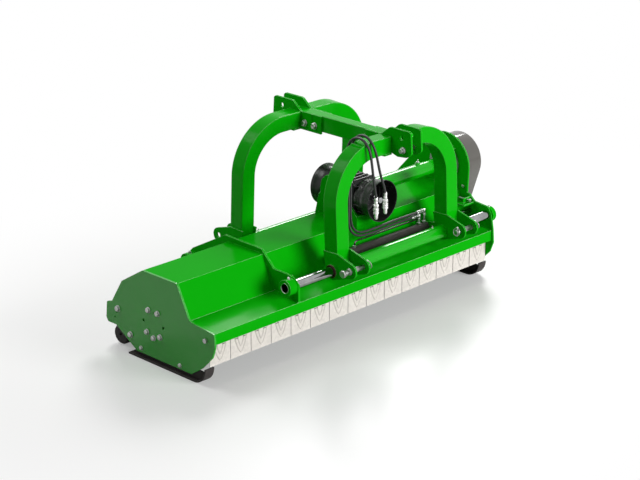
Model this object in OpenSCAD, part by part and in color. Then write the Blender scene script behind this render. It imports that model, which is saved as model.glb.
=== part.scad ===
/* [Deck] */
// Length over the two end plates
deck_l = 2150; // [1800:10:2400]
// Thickness of the end plates
plate_t = 10; // [8:1:12]
// Thickness of the deck sheet
sheet_t = 6; // [4:1:8]
// Distance of the front lip's face from the middle
lip_y = 424; // [415:1:430]
// Height of the front lip's lower edge
lip_z = 233; // [225:1:240]
// Height of the front lip
lip_h = 60; // [50:1:65]
// Distance of the step behind the lip from the middle
step_y = 250; // [240:1:260]
// Rise of the sheet from the lip to the step
step_rise = 24; // [18:1:28]
// Distance of the ridge's front edge from the middle
ridge_front = 161; // [150:1:170]
// Distance of the ridge's rear edge from the middle
ridge_rear = 104; // [95:1:110]
// Height of the flat ridge
ridge_z = 493; // [485:1:500]
// Distance of the rear knee from the middle
knee_y = 273; // [265:1:280]
// Height of the rear knee
knee_z = 390; // [380:1:400]
// Distance of the rear edge from the middle
tail_y = 345; // [338:1:350]
// Height of the rear edge
tail_z = 277; // [270:1:285]
// Height of the rear curtain's lower edge
curtain_z = 128; // [122:1:180]
// Thickness of the rear curtain
curtain_t = 5; // [3:1:8]

/* [Rotor] */
// Distance of the rotor's axis behind the middle
rotor_y = 29; // [20:1:35]
// Height of the rotor's axis
rotor_z = 219; // [212:1:235]
// Radius of the rotor tube
tube_r = 84; // [70:1:86]
// Wall of the rotor tube
tube_wall = 10; // [6:1:14]
// Gap from an end plate to the tube's end disc
tube_gap = 55; // [50:1:70]
// Radius of the rotor's stub shafts
stub_r = 25; // [20:1:30]
// Radius of the bearing flanges
bearing_r = 95; // [90:1:100]
// Thickness of the bearing flanges
bearing_t = 14; // [10:1:18]
// Depth of the bearing hubs
bearing_hub = 40; // [30:1:45]

/* [Hammers] */
// Distance from the tube's end to the outermost hammer's middle
hammer_end = 75; // [65:1:80]
// Radius of the hammers' pin circle
pin_ring = 105; // [104:1:112]
// Radius of the hammer pins
hammer_pin_r = 8; // [6:0.5:9]
// Radius of a hammer's eye
hammer_eye_r = 17; // [15:1:18]
// Width of a hammer's eye
hammer_eye_w = 40; // [30:1:50]
// Length of a hammer from its pin
hammer_l = 85; // [70:1:90]
// Width of a hammer at its cutting edge
hammer_w = 104; // [80:1:106]
// Thickness of a hammer
hammer_t = 16; // [10:1:20]

/* [Front flaps] */
// Distance of the flap rod from the middle
rod_y = 373; // [370:1:380]
// Height of the flap rod
rod_z = 249; // [245:1:255]
// Radius of the flap rod
rod_r = 8; // [6:0.5:9]
// Thickness of a flap
flap_t = 4; // [3:0.5:6]
// Height of the flaps' lower edge
flap_z = 104; // [100:1:130]
// Gap between two flaps
flap_gap = 3; // [2:0.5:6]

/* [Slide bars] */
// Radius of the slide bars
bar_r = 28; // [24:0.5:30]
// Wall of the slide bars
bar_wall = 5; // [4:0.5:8]
// Distance of the front bar from the middle
front_bar_y = 380; // [376:1:384]
// Height of the front bar
front_bar_z = 377; // [372:1:382]
// Distance of the rear bar from the middle
rear_bar_y = 386; // [382:1:390]
// Height of the rear bar
rear_bar_z = 321; // [316:1:326]
// Radius of the sliding sleeves
sleeve_r = 38; // [34:1:40]
// Length of the sliding sleeves
sleeve_l = 1000; // [990:2:1020]
// Distance of the bar bracket from the left end
bracket_x = 595; // [585:1:600]
// Thickness of the bar bracket
bracket_t = 12; // [10:1:16]
// Radius of the bar bosses
boss_r = 44; // [40:1:48]
// Length of the bar bosses at the bar bracket
boss_l = 55; // [40:1:60]
// Length of the bar bosses at the right end plate
end_boss_l = 30; // [20:1:60]

/* [Headstock] */
// Place of the headstock's middle from the left end
head_x = 1380; // [1360:5:1400]
// Distance between the middles of the arch's legs
foot_w = 870; // [850:5:880]
// Width of the square arch tube
leg = 90; // [80:1:92]
// Wall of the arch tube
leg_wall = 6; // [4:1:10]
// Outer radius of the arch's bends
bend_r = 300; // [250:5:320]
// Height of the arches' top
arch_z = 1018; // [1000:2:1030]
// Distance of the front arch from the middle
front_arch_y = 335; // [330:1:340]
// Distance of the rear arch from the middle
rear_arch_y = 345; // [340:1:350]
// Outward lean of the legs in degrees
lean = 2.6; // [2:0.1:3]

/* [Hitch points] */
// Thickness of the lower lugs
lug_t = 10; // [8:1:14]
// Distance of the lower hitch points from the middle
low_y = 508; // [504:1:512]
// Height of the front lower hitch points
front_low_z = 408; // [404:1:412]
// Height of the rear lower hitch points
rear_low_z = 352; // [348:1:356]
// Radius of a lower lug's end
lug_r = 42; // [36:1:44]
// Radius of the lower hitch pins
low_pin_r = 14; // [11:0.5:15]
// Radius of the rear lower hitch bores
low_bore_r = 14.4; // [11:0.1:15]
// Thickness of the top clevis plates
clevis_t = 12; // [10:1:16]
// Gap between the top clevis plates
clevis_gap = 66; // [56:1:72]
// Distance of the upper top link hole from the middle
top_y = 452; // [448:1:456]
// Height of the upper top link hole
top_z = 1025; // [1022:1:1030]
// Distance of the lower top link hole from the middle
top_low_y = 467; // [463:1:470]
// Height of the lower top link hole
top_low_z = 961; // [956:1:964]
// Radius of the top link holes
top_bore_r = 12.95; // [10:0.05:13]

/* [Gearbox and drive] */
// Distance of the input shaft's crossing in front of the middle
gear_y = 62; // [58:1:66]
// Height of the input shaft
gear_z = 622; // [618:1:626]
// Half length of the gearbox along the mower
case_x = 95; // [92:1:98]
// Half depth of the gearbox
case_y = 85; // [80:1:90]
// Half height of the gearbox
case_z = 90; // [88:1:94]
// Wall of the gearbox
case_wall = 20; // [16:1:24]
// Depth of the input shaft's bearing seats
seat_l = 40; // [36:1:42]
// Radius of the input shaft's splined ends
input_r = 17.45; // [15:0.05:18]
// Length of the splined ends
spline_l = 76; // [60:1:90]
// Radius of the input shaft in its bearings
journal_r = 20; // [19:0.5:24]
// Half length of the input shaft
input_l = 205; // [195:1:215]
// Radius of the cross shaft
cross_r = 17; // [14:0.5:18]
// Radius of a guard at the gearbox
guard_r = 95; // [90:1:98]
// Radius of a guard at its rim
guard_rim = 117; // [110:1:120]
// Length of the guards
guard_l = 133; // [125:1:140]
// Wall of the guards
guard_t = 4; // [3:0.5:5]
// Radius of the tube over the cross shaft
drive_tube_r = 40; // [34:1:44]
// Thickness of the pedestal's plates
stand_t = 12; // [8:1:14]
// Radius of the shaft bearing's flange
shaft_flange_r = 105; // [95:1:115]
// Thickness of the shaft bearing's flange
shaft_flange_t = 30; // [20:1:40]

/* [Belt drive] */
// Radius of the upper pulley
upper_r = 110; // [100:1:120]
// Radius of the lower pulley
lower_r = 80; // [70:1:90]
// Gap from the right end plate to the pulleys
pulley_gap = 25; // [20:1:30]
// Width of a belt
belt_w = 14.2; // [12:0.1:14.4]
// Thickness of a belt
belt_t = 10; // [8:0.5:11]
// Gap between a belt and its groove
belt_gap = 0.5; // [0.4:0.1:0.8]
// Radius of the cover round the upper pulley
cover_top_r = 155; // [145:1:160]
// Radius of the cover round the lower pulley
cover_low_r = 115; // [108:1:120]
// Depth of the belt cover
cover_w = 140; // [135:1:160]
// Wall of the belt cover
cover_t = 3; // [2:0.5:4]

/* [Ground contact] */
// Width of a skid
skid_w = 60; // [50:1:75]
// How far a skid stands out under the end plate
skid_out = 20; // [10:1:24]
// Thickness of a skid
skid_t = 8; // [6:1:10]
// Radius of a skid's curl
skid_curl = 90; // [85:1:100]
// Distance of the skids' rear tip behind the middle
skid_tail = 225; // [200:1:230]
// Radius of the rear roller
roller_r = 56; // [50:1:60]
// Distance of the roller's axis behind the middle
roller_y = 347; // [343:1:352]
// Gap from an end plate to the roller
roller_gap = 40; // [34:1:60]

/* [Hydraulics] */
// Distance of the shift cylinder in front of the middle
cyl_y = 262; // [258:1:266]
// Height of the shift cylinder
cyl_z = 376; // [372:1:380]
// Radius of the cylinder's barrel
cyl_r = 28; // [24:1:29]
// Radius of the cylinder's bore
cyl_bore = 22; // [18:1:24]
// Radius of the cylinder's rod
cyl_rod = 14; // [10:0.5:15]
// Diameter of the hydraulic hoses
hose_d = 14; // [12:1:16]
// Radius of the quick couplers
coupler_r = 12.5; // [11:0.5:14]
// Length of the quick couplers
coupler_l = 108; // [90:1:120]

/* [Hidden] */
$fn = 64;
green = [0.16, 0.62, 0.15];
dark = [0.13, 0.13, 0.14];
grey = [0.3, 0.31, 0.32];
bright = [0.8, 0.81, 0.83];
pale = [0.85, 0.84, 0.82];
steel = [0.55, 0.56, 0.58];

flap_n = 15;
row_n = 9;
fit = 0.05;
slack = 0.5;
face_gap = 0.5;

inner_l = deck_l - 2 * plate_t;
right_x = deck_l - plate_t;
cover_end = deck_l + cover_w;
bolt_out = 14;
frame_x = (cover_end - bolt_out) / 2;

lip_top = lip_z + lip_h;
step_z = lip_top + step_rise;
deck_path = [[-lip_y, lip_z], [-lip_y, lip_top], [-step_y, step_z], [-ridge_front, ridge_z],
             [ridge_rear, ridge_z], [knee_y, knee_z], [tail_y, tail_z]];

tube_x0 = plate_t + tube_gap;
tube_x1 = deck_l - tube_x0;
ear_t = 8;
hammer_pitch = 2 * (tube_x1 - tube_x0 - 2 * hammer_end) / (2 * row_n - 1);
first_hammer = tube_x0 + hammer_end;

bar_x0 = bracket_x - boss_l;
bar_x1 = deck_l + end_boss_l;
sleeve_x0 = head_x - sleeve_l / 2;
sleeve_x1 = head_x + sleeve_l / 2;
left_leg = head_x - foot_w / 2;
right_leg = head_x + foot_w / 2;
lug_gap = leg;
clevis_x0 = head_x - clevis_gap / 2 - clevis_t;
clevis_x1 = head_x + clevis_gap / 2 + clevis_t;
beam_z0 = arch_z - leg;

case_x0 = head_x - case_x;
case_x1 = head_x + case_x;
pulley_x0 = deck_l + pulley_gap;
groove_w = belt_w + 2 * belt_gap;
groove_pitch = groove_w + 4;
belt_n = 4;
pulley_w = belt_n * groove_pitch + 4;
groove_depth = belt_t + 2;
cyl_x0 = left_leg + lug_gap / 2 + lug_t;
cyl_x1 = right_leg - lug_gap / 2 - lug_t;
elbow_1_z = cyl_z + 79;
elbow_2_z = cyl_z + 98;
hose_out = 26;
coupler_1 = [1198, -402, 702];
coupler_2 = [1270, -402, 715];
pipe_x = cyl_x0 + 180;
port_1 = cyl_x1 - 62;
port_2 = cyl_x1 - 19;

// Hose routes from the cylinder's ports over the front arch to the couplers
hose_1_path = [[port_1 - hose_out, -cyl_y, elbow_1_z], [port_1 - hose_out - 20, -cyl_y, elbow_1_z],
               [port_1 - 80, -262.5, 455.5],
               [1570, -265, 457], [1520, -268, 459], [1470, -271, 460], [1420, -275, 460], [1370, -279, 461],
               [1320, -283, 462], [1270, -287, 465], [1222, -290, 469], [1178, -291.5, 478.5], [1143, -292, 496],
               [1118, -292, 525], [1106, -292, 562], [1102, -292, 604], [1102, -292, 650], [1103, -292, 698],
               [1105, -289, 746], [1108, -281, 794], [1111, -272, 842], [1115, -265, 890], [1119, -261, 936],
               [1122, -263, 974], [1125, -274, 1006], [1128, -296, 1031], [1131, -325, 1043], [1134, -355, 1040],
               [1137, -382, 1022], [1140, -401, 994], [1144, -410, 960], [1149, -413, 922], [1156, -413, 880],
               [1165, -411, 836], [1175, -408, 792], [1186, -405, 752], [1195, -403, 722], [1198, -402, 702]];
hose_2_path = [[port_2 - hose_out, -cyl_y, elbow_2_z], [port_2 - hose_out - 20, -cyl_y, elbow_2_z],
               [port_2 - 80, -262, 475],
               [1610, -262.5, 476], [1560, -264, 477], [1510, -266, 478], [1460, -269, 479],
               [1410, -272, 479.5], [1360, -276, 480], [1310, -280, 481], [1262, -284, 483],
               [1222, -288, 487], [1188, -290, 495], [1160, -290, 510], [1138, -290, 533], [1125, -290, 565],
               [1120, -290, 604], [1119, -290, 650], [1120, -290, 694], [1122, -288, 742], [1127, -282, 790],
               [1133, -273, 838], [1140, -266, 886], [1146, -262, 934],
               [1152, -263, 976], [1156, -274, 1010], [1160, -296, 1037], [1164, -325, 1050], [1168, -356, 1046],
               [1172, -383, 1027], [1177, -402, 998], [1184, -411, 962], [1194, -414, 920], [1207, -413, 876],
               [1223, -410, 834], [1241, -407, 794], [1257, -404, 758], [1270, -402, 715]];

function unit(v) = v / norm(v);
function arc(c, r, a0, a1, n = 12) = [for (i = [0:n]) c + r * [cos(a0 + (a1 - a0) * i / n), sin(a0 + (a1 - a0) * i / n)]];

// One corner of an outline, rounded with radius r
function corner(a, b, c, r, n = 6) =
    r == 0 ? [b] :
    let (u = unit(a - b), v = unit(c - b),
         half = acos(u * v) / 2,
         start = b + u * r / tan(half),
         end = b + v * r / tan(half),
         o = b + unit(u + v) * r / sin(half),
         a0 = atan2(start.y - o.y, start.x - o.x),
         a1 = atan2(end.y - o.y, end.x - o.x),
         sweep = (a1 - a0 + 900) % 360 - 180)
    [for (i = [0:n]) o + r * [cos(a0 + sweep * i / n), sin(a0 + sweep * i / n)]];

// An outline whose points carry their corner radius as a third number
function smooth(p) = [for (i = [0:len(p) - 1])
    let (a = p[(i + len(p) - 1) % len(p)], b = p[i], c = p[(i + 1) % len(p)])
    each corner([a.x, a.y], [b.x, b.y], [c.x, c.y], b[2])];

// The parallel of a path, a distance t to the right of its direction
function side(a, b) = let (u = unit(b - a)) [u.y, -u.x];
function parallel_path(p, t) = [for (i = [0:len(p) - 1])
    let (last = len(p) - 1,
         n0 = side(p[max(i - 1, 0)], p[max(i, 1)]),
         n1 = side(p[min(i, last - 1)], p[min(i + 1, last)]),
         m = unit(n0 + n1))
    p[i] + m * t / (m * n0)];
function reversed(p) = [for (i = [len(p) - 1:-1:0]) p[i]];
function strip(p, t) = concat(p, reversed(parallel_path(p, t)));
function mirrored(p) = [for (q = reversed(p)) len(q) == 2 ? [-q.x, q.y] : [-q.x, q.y, q[2]]];

// Height of a path's segment i at the place y
function height(p, i, y) = p[i].y + (y - p[i].x) * (p[i + 1].y - p[i].y) / (p[i + 1].x - p[i].x);

// Place of a sloping segment at the height z
function place(p, z) = p[0].x + (z - p[0].y) * (p[1].x - p[0].x) / (p[1].y - p[0].y);

// The closed loop round two circles, upper circle first
function belt_loop(c1, r1, c2, r2, n = 24) =
    let (d = c2 - c1, a = atan2(d.y, d.x), b = acos((r1 - r2) / norm(d)))
    concat(arc(c1, r1, a + b, a + 360 - b, n), arc(c2, r2, a - b, a + b, n));

module yz(x0, t) translate([x0, 0, 0]) rotate([90, 0, 90]) linear_extrude(t) children();
module x_cyl(x0, l, r, y, z) translate([x0, y, z]) rotate([0, 90, 0]) cylinder(h = l, r = r);
module y_cyl(y0, l, r, x, z) translate([x, y0, z]) rotate([-90, 0, 0]) cylinder(h = l, r = r);
module z_cyl(z0, l, r, x, y) translate([x, y, z0]) cylinder(h = l, r = r);

// A hex bolt along X: head and washer outside at x, nut behind the grip
module x_bolt(x, dir, y, z, r, grip) translate([x, y, z]) rotate([0, 90 * dir, 0]) {
    cylinder(h = 0.35 * r, r = 2 * r);
    cylinder(h = 1.6 * r, r = 1.75 * r, $fn = 6);
    translate([0, 0, -grip - 1.4 * r]) cylinder(h = grip + 1.4 * r, r = r);
    translate([0, 0, -grip - 1.4 * r]) cylinder(h = 1.4 * r, r = 1.75 * r, $fn = 6);
}

// A tube swept along points, as one closed skin of rings
function frame_up(d) = abs(d.z) < 0.8 ? [0, 0, 1] : [1, 0, 0];
function carry(v, d) = unit(v - d * (v * d));
function tangents(p) = [for (i = [0:len(p) - 1]) unit(p[min(i + 1, len(p) - 1)] - p[max(i - 1, 0)])];
function ups(t, i = 0, u = undef) =
    let (v = carry(u == undef ? frame_up(t[0]) : u, t[i]))
    i == len(t) - 1 ? [v] : concat([v], ups(t, i + 1, v));
module sweep_tube(p, r, n = 8) {
    t = [for (i = [0:len(p) - 1]) i == len(p) - 1 ? [0, 0, -1] : tangents(p)[i]];
    u = ups(t);
    points = [for (i = [0:len(p) - 1]) for (k = [0:n - 1])
        p[i] + r * (cos(360 * k / n) * u[i] + sin(360 * k / n) * cross(t[i], u[i]))];
    sides = [for (i = [0:len(p) - 2]) for (k = [0:n - 1])
        let (a = i * n + k, b = i * n + (k + 1) % n)
        each [[a, a + n, b], [b, a + n, b + n]]];
    caps = [[for (k = [0:n - 1]) k], [for (k = [n - 1:-1:0]) (len(p) - 1) * n + k]];
    polyhedron(points, concat(sides, caps));
}

plate_low = [[402, 241, 12], [411, 149, 20], [395, 128, 0], [330, 128, 0], [240, 72, 14], [168, 30, 14],
             [-257, 30, 20], [-340, 86, 20], [-417, 164, 24], [-lip_y - 15, 225, 20], [-lip_y - 10, lip_top + 4, 8]];
bearing_holes = [62, 118, 228, 270, 312];
skid_holes = [[132, 56], [-171, 51]];
bracket_holes = [[311, 225], [214, 107]];

module plate_holes(x0) {
    for (a = concat(bearing_holes, [0, 180]))
        x_cyl(x0 - 1, plate_t + 2, 8.5, rotor_y + 77 * cos(a), rotor_z + 77 * sin(a));
    x_cyl(x0 - 1, plate_t + 2, 5, rotor_y - 6, rotor_z + 61);
    for (p = skid_holes) x_cyl(x0 - 1, plate_t + 2, 6.5, p.x, p.y);
    for (p = bracket_holes) x_cyl(x0 - 1, plate_t + 2, 10.5, p.x, p.y);
    for (p = [[324, 200], [339, 171]]) x_cyl(x0 - 1, plate_t + 2, 5, p.x, p.y);
    x_cyl(x0 - 1, plate_t + 2, rod_r, -rod_y, rod_z);
}

module deck_shell() color(green) {
    yz(plate_t, inner_l) polygon(strip(deck_path, sheet_t));
    // Hangers that hold the flap rod
    roof = parallel_path(deck_path, sheet_t / 2);
    for (i = [2:3:flap_n - 1]) difference() {
        yz(flap_mid(i) - 3, 6) polygon([[-rod_y - 10, rod_z + 2], [-rod_y + 10, rod_z + 2],
            [-rod_y + 10, height(roof, 1, -rod_y + 10)], [-rod_y - 10, height(roof, 1, -rod_y - 10)]]);
        x_cyl(flap_mid(i) - 4, 8, rod_r, -rod_y, rod_z);
    }
}

module end_plate_left() color(green) difference() {
    yz(0, plate_t) polygon(smooth(concat(plate_low, [[-step_y, step_z, 30], [-ridge_front, ridge_z, 20],
        [ridge_rear, ridge_z, 20], [knee_y, knee_z, 30], [360, 254, 12]])));
    plate_holes(0);
}

module end_plate_right() color(green) difference() {
    union() {
        yz(right_x, plate_t) polygon(concat(
            smooth(concat([for (i = [0:9]) plate_low[i]],
                [[-lip_y - 10, lip_top + 4, 0], [-416, 397, 12], [-392, 429, 14], [-292, 439, 20], [-247, 480, 20]])),
            arc([-gear_y + 2, gear_z], 182, 180, 42, 16),
            [[311, 486], [rear_bar_y + 40, rear_bar_z + 34], [rear_bar_y + 50, rear_bar_z - 10]]));
        x_cyl(right_x, plate_t, 50, rear_bar_y, rear_bar_z);
    }
    plate_holes(right_x);
    x_cyl(right_x - 1, plate_t + 2, bar_r, -front_bar_y, front_bar_z);
    x_cyl(right_x - 1, plate_t + 2, bar_r, rear_bar_y, rear_bar_z);
    x_cyl(right_x - 1, plate_t + 2, stub_r + 10, rotor_y, rotor_z);
    x_cyl(right_x - 1, plate_t + 2, cross_r + 20, -gear_y, gear_z);
    x_cyl(right_x - 1, plate_t + 2, cyl_rod - 4, -cyl_y, cyl_z);
    x_cyl(right_x - 1, plate_t + 2, 6.5, -206, 509);
}

module bar_bracket() color(green) difference() {
    yz(bracket_x, bracket_t) polygon(concat(
        [for (i = [1:len(deck_path) - 1]) deck_path[i]],
        arc([rear_bar_y, rear_bar_z], 50, -100, 55, 14),
        smooth([[390, 385, 0], [129, ridge_z + 32, 12], [-150, 519, 8], [-238, 433, 12],
                [-366, 429, 12], [-lip_y, 390, 10], [-lip_y, 340, 0]])));
    x_cyl(bracket_x - 1, bracket_t + 2, bar_r, -front_bar_y, front_bar_z);
    x_cyl(bracket_x - 1, bracket_t + 2, bar_r, rear_bar_y, rear_bar_z);
}

module boss(x, l, y, z) difference() {
    x_cyl(x, l, boss_r, y, z);
    x_cyl(x - 1, l + 2, bar_r, y, z);
    z_cyl(z, boss_r + 2, 5, x + l / 2, y);
}

module bar_bosses() color(green) {
    for (p = [[-front_bar_y, front_bar_z], [rear_bar_y, rear_bar_z]]) {
        boss(bracket_x - boss_l, boss_l, p.x, p.y);
        boss(deck_l, end_boss_l, p.x, p.y);
    }
}

module slide_bars() color(bright) {
    for (p = [[-front_bar_y, front_bar_z], [rear_bar_y, rear_bar_z]]) difference() {
        x_cyl(bar_x0, bar_x1 - bar_x0, bar_r, p.x, p.y);
        x_cyl(bar_x0 - 1, bar_x1 - bar_x0 + 2, bar_r - bar_wall, p.x, p.y);
    }
}

skid_front = 285;
skid_flange_z = 92;
module skid(x0, flange_x) color(grey) difference() {
    union() {
        yz(x0, skid_w) polygon(strip(concat(arc([-skid_front, skid_curl], skid_curl, 180, 270, 12),
            [[skid_tail, 0]]), -skid_t));
        yz(flange_x, skid_t) polygon(concat([[skid_tail - 20, skid_t], [150, skid_flange_z]],
            arc([-skid_front, skid_curl], skid_curl - skid_t / 2, 180 + 20, 270, 10)));
    }
    for (p = skid_holes) x_cyl(flange_x - 1, skid_t + 2, 6.5, p.x, p.y);
}
module skid_left() skid(plate_t - skid_out, plate_t);
module skid_right() skid(right_x - skid_w + skid_out, right_x - skid_t);

module deck_bolts() color(bright) {
    for (s = [[0, -1], [deck_l, 1]]) {
        for (a = bearing_holes)
            x_bolt(s[0], s[1], rotor_y + 77 * cos(a), rotor_z + 77 * sin(a), 8, plate_t + bearing_t);
        for (p = skid_holes) x_bolt(s[0], s[1], p.x, p.y, 6, plate_t + skid_t);
        for (p = bracket_holes) x_bolt(s[0], s[1], p.x, p.y, 8.7, plate_t + 8);
    }
    x_bolt(deck_l, 1, -206, 509, 6, plate_t);
    // Tensioner bolt lying over its plate
    translate([tension_x, -280, tension_z]) rotate([90, 0, 0]) cylinder(h = 9, r = 12, $fn = 6);
    translate([tension_x, -244, tension_z]) rotate([90, 0, 0]) cylinder(h = 10, r = 11.5, $fn = 6);
    y_cyl(-281, 78, 7, tension_x, tension_z);
    // Nut on the shift cylinder's rod
    difference() {
        translate([deck_l, -cyl_y, cyl_z]) rotate([0, 90, 0]) cylinder(h = 14, r = 18, $fn = 6);
        x_cyl(deck_l - 1, 16, cyl_rod - 4, -cyl_y, cyl_z);
    }
    // Lock screws of the slide bars
    for (x = [bracket_x - boss_l / 2, deck_l + end_boss_l / 2])
        for (p = [[-front_bar_y, front_bar_z], [rear_bar_y, rear_bar_z]]) {
            z_cyl(p.y + bar_r, boss_r - bar_r + 4, 5, x, p.x);
            translate([x, p.x, p.y + boss_r]) cylinder(h = 7, r = 8, $fn = 6);
        }
}

module flap_rod() color(bright) {
    x_cyl(-4, deck_l + 8, rod_r, -rod_y, rod_z);
    for (x = [-11, deck_l])
        translate([x, -rod_y, rod_z]) rotate([0, 90, 0]) cylinder(h = 11, r = 1.75 * rod_r, $fn = 6);
}

module rear_curtain() color(dark) {
    inside = parallel_path(deck_path, sheet_t);
    p = inside[len(inside) - 1];
    q = inside[len(inside) - 2];
    u = unit(q - p);
    n = [u.y, -u.x];
    low = p - fit * n;
    top = low + 40 * u;
    yz(plate_t + 12, inner_l - 24) polygon([top, low, [low.x, curtain_z], [low.x - curtain_t, curtain_z],
        [low.x - curtain_t, low.y + 2], top - curtain_t * n]);
}

module rotor_bearings() color(grey) {
    for (s = [0, 1]) {
        x0 = s == 0 ? plate_t : right_x - bearing_t;
        h0 = s == 0 ? plate_t : right_x - bearing_hub;
        difference() {
            union() {
                x_cyl(x0, bearing_t, bearing_r, rotor_y, rotor_z);
                x_cyl(h0, bearing_hub, 56, rotor_y, rotor_z);
            }
            x_cyl(h0 - 1, bearing_hub + 2, stub_r + fit, rotor_y, rotor_z);
            for (a = bearing_holes)
                x_cyl(x0 - 1, bearing_t + 2, 8.5, rotor_y + 77 * cos(a), rotor_z + 77 * sin(a));
        }
    }
}

module pulley(r, bore, y, z) translate([pulley_x0, y, z]) rotate([0, 90, 0]) rotate_extrude()
    polygon(concat([[bore, 0], [r, 0]],
        [for (i = [0:belt_n - 1]) let (a = 4 + i * groove_pitch)
            each [[r, a], [r - groove_depth, a], [r - groove_depth, a + groove_w], [r, a + groove_w]]],
        [[r, pulley_w], [bore, pulley_w]]));

module drive_belts() color(dark) {
    inner_1 = upper_r - groove_depth + belt_gap;
    inner_2 = lower_r - groove_depth + belt_gap;
    for (i = [0:belt_n - 1]) yz(pulley_x0 + 4 + i * groove_pitch + belt_gap, belt_w) difference() {
        polygon(belt_loop([-gear_y, gear_z], inner_1 + belt_t, [rotor_y, rotor_z], inner_2 + belt_t));
        polygon(belt_loop([-gear_y, gear_z], inner_1, [rotor_y, rotor_z], inner_2));
    }
}

module belt_cover() color(grey) difference() {
    yz(deck_l, cover_w)
        polygon(belt_loop([-gear_y, gear_z], cover_top_r, [rotor_y, rotor_z], cover_low_r));
    yz(deck_l - 1, cover_w + 1 - cover_t)
        polygon(belt_loop([-gear_y, gear_z], cover_top_r - cover_t, [rotor_y, rotor_z], cover_low_r - cover_t));
}

tension_x = right_x - 30;
tension_z = 448;
module belt_tensioner() color(green) {
    slope = [deck_path[3], deck_path[2]];
    difference() {
        yz(right_x - 90, 90) polygon([[-290, 425], [place(slope, 425), 425], [place(slope, 435), 435], [-290, 435]]);
        z_cyl(424, 12, 6, right_x - 45, -230);
    }
    difference() {
        translate([right_x - 60, -262, 435]) cube([60, 8, 26]);
        y_cyl(-263, 10, 7, tension_x, tension_z);
    }
}

module drive_tube() color(green) difference() {
    union() {
        x_cyl(case_x1, right_x - shaft_flange_t - case_x1, drive_tube_r, -gear_y, gear_z);
        x_cyl(case_x1, 16, drive_tube_r + 16, -gear_y, gear_z);
        z_cyl(gear_z, drive_tube_r + 10, 14, 1905, -gear_y);
    }
    x_cyl(case_x1 - 1, right_x - case_x1, drive_tube_r - 7, -gear_y, gear_z);
}

module shaft_bearing() color(steel) difference() {
    union() {
        x_cyl(right_x - 12, 12, shaft_flange_r, -gear_y, gear_z);
        x_cyl(right_x - shaft_flange_t, shaft_flange_t, drive_tube_r + 18, -gear_y, gear_z);
    }
    x_cyl(right_x - shaft_flange_t - 1, shaft_flange_t + 2, cross_r + fit, -gear_y, gear_z);
}

module shaft_shield() color(green) yz(right_x - 55, 55) polygon(concat(
    arc([-gear_y, gear_z], shaft_flange_r + 22, 85, 130, 12),
    arc([-gear_y, gear_z], shaft_flange_r + 16, 130, 85, 12)));

cavity_x = case_x - case_wall;
cavity_y = case_y - seat_l;
cavity_z = case_z - case_wall;
module gearbox_case() color(dark) difference() {
    union() {
        translate([case_x0, -gear_y - case_y, gear_z - case_z]) cube([2 * case_x, 2 * case_y, 2 * case_z]);
        // Cooling ribs
        for (i = [0:4])
            translate([case_x0 + 20, -gear_y - case_y + 12 + i * 34, gear_z + case_z - 1])
                cube([2 * case_x - 40, 10, 9]);
        z_cyl(gear_z + case_z, 16, 12, head_x + 70, -gear_y + 66);
    }
    translate([head_x - cavity_x, -gear_y - cavity_y, gear_z - cavity_z])
        cube([2 * cavity_x, 2 * cavity_y, 2 * cavity_z]);
    y_cyl(-gear_y - case_y - 1, 2 * case_y + 2, journal_r + fit, head_x, gear_z);
    x_cyl(head_x, case_x + 1, cross_r + fit, -gear_y, gear_z);
}

module gearbox_stand() color(green) difference() {
    stand_plates();
    // Room for the guards
    for (s = [-1, 1]) translate([head_x, -gear_y + s * case_y, gear_z]) rotate([-90 * s, 0, 0])
        cylinder(h = guard_l, r1 = guard_r + 1, r2 = guard_rim + 1);
}

module stand_plates() {
    top = gear_z - case_z;
    front = -190;
    slope = [deck_path[2], deck_path[3]];
    yz(case_x0, 2 * case_x) polygon([[front, height(slope, 0, front)], [front, top], [ridge_rear, top],
        [ridge_rear, ridge_z], [ridge_rear - stand_t, ridge_z], [ridge_rear - stand_t, top - stand_t],
        [front + stand_t, top - stand_t], [front + stand_t, height(slope, 0, front + stand_t)]]);
    yz(case_x0 - stand_t, stand_t) polygon(smooth([[front, height(slope, 0, front), 0],
        [-ridge_front, ridge_z, 0], [ridge_rear, ridge_z, 0], [133, height(deck_path, 4, 133), 0], [78, 690, 30],
        [45, 722, 30], [-62, 714, 30], [-100, 620, 40], [front, top, 20]]));
    yz(case_x1, stand_t) difference() {
        polygon(smooth([[front, height(slope, 0, front), 0], [-ridge_front, ridge_z, 0], [ridge_rear, ridge_z, 0],
            [ridge_rear, 575, 20], [front, 575, 20]]));
        translate([-gear_y, gear_z]) circle(drive_tube_r + 16 + face_gap);
    }
}

module shaft_guards() color(dark) {
    for (s = [-1, 1]) translate([head_x, -gear_y + s * case_y, gear_z]) rotate([-90 * s, 0, 0]) difference() {
        cylinder(h = guard_l, r1 = guard_r, r2 = guard_rim);
        translate([0, 0, guard_t]) cylinder(h = guard_l, r1 = guard_r - guard_t, r2 = guard_rim - guard_t);
        translate([0, 0, -1]) cylinder(h = guard_t + 2, r = 60);
    }
}

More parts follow.
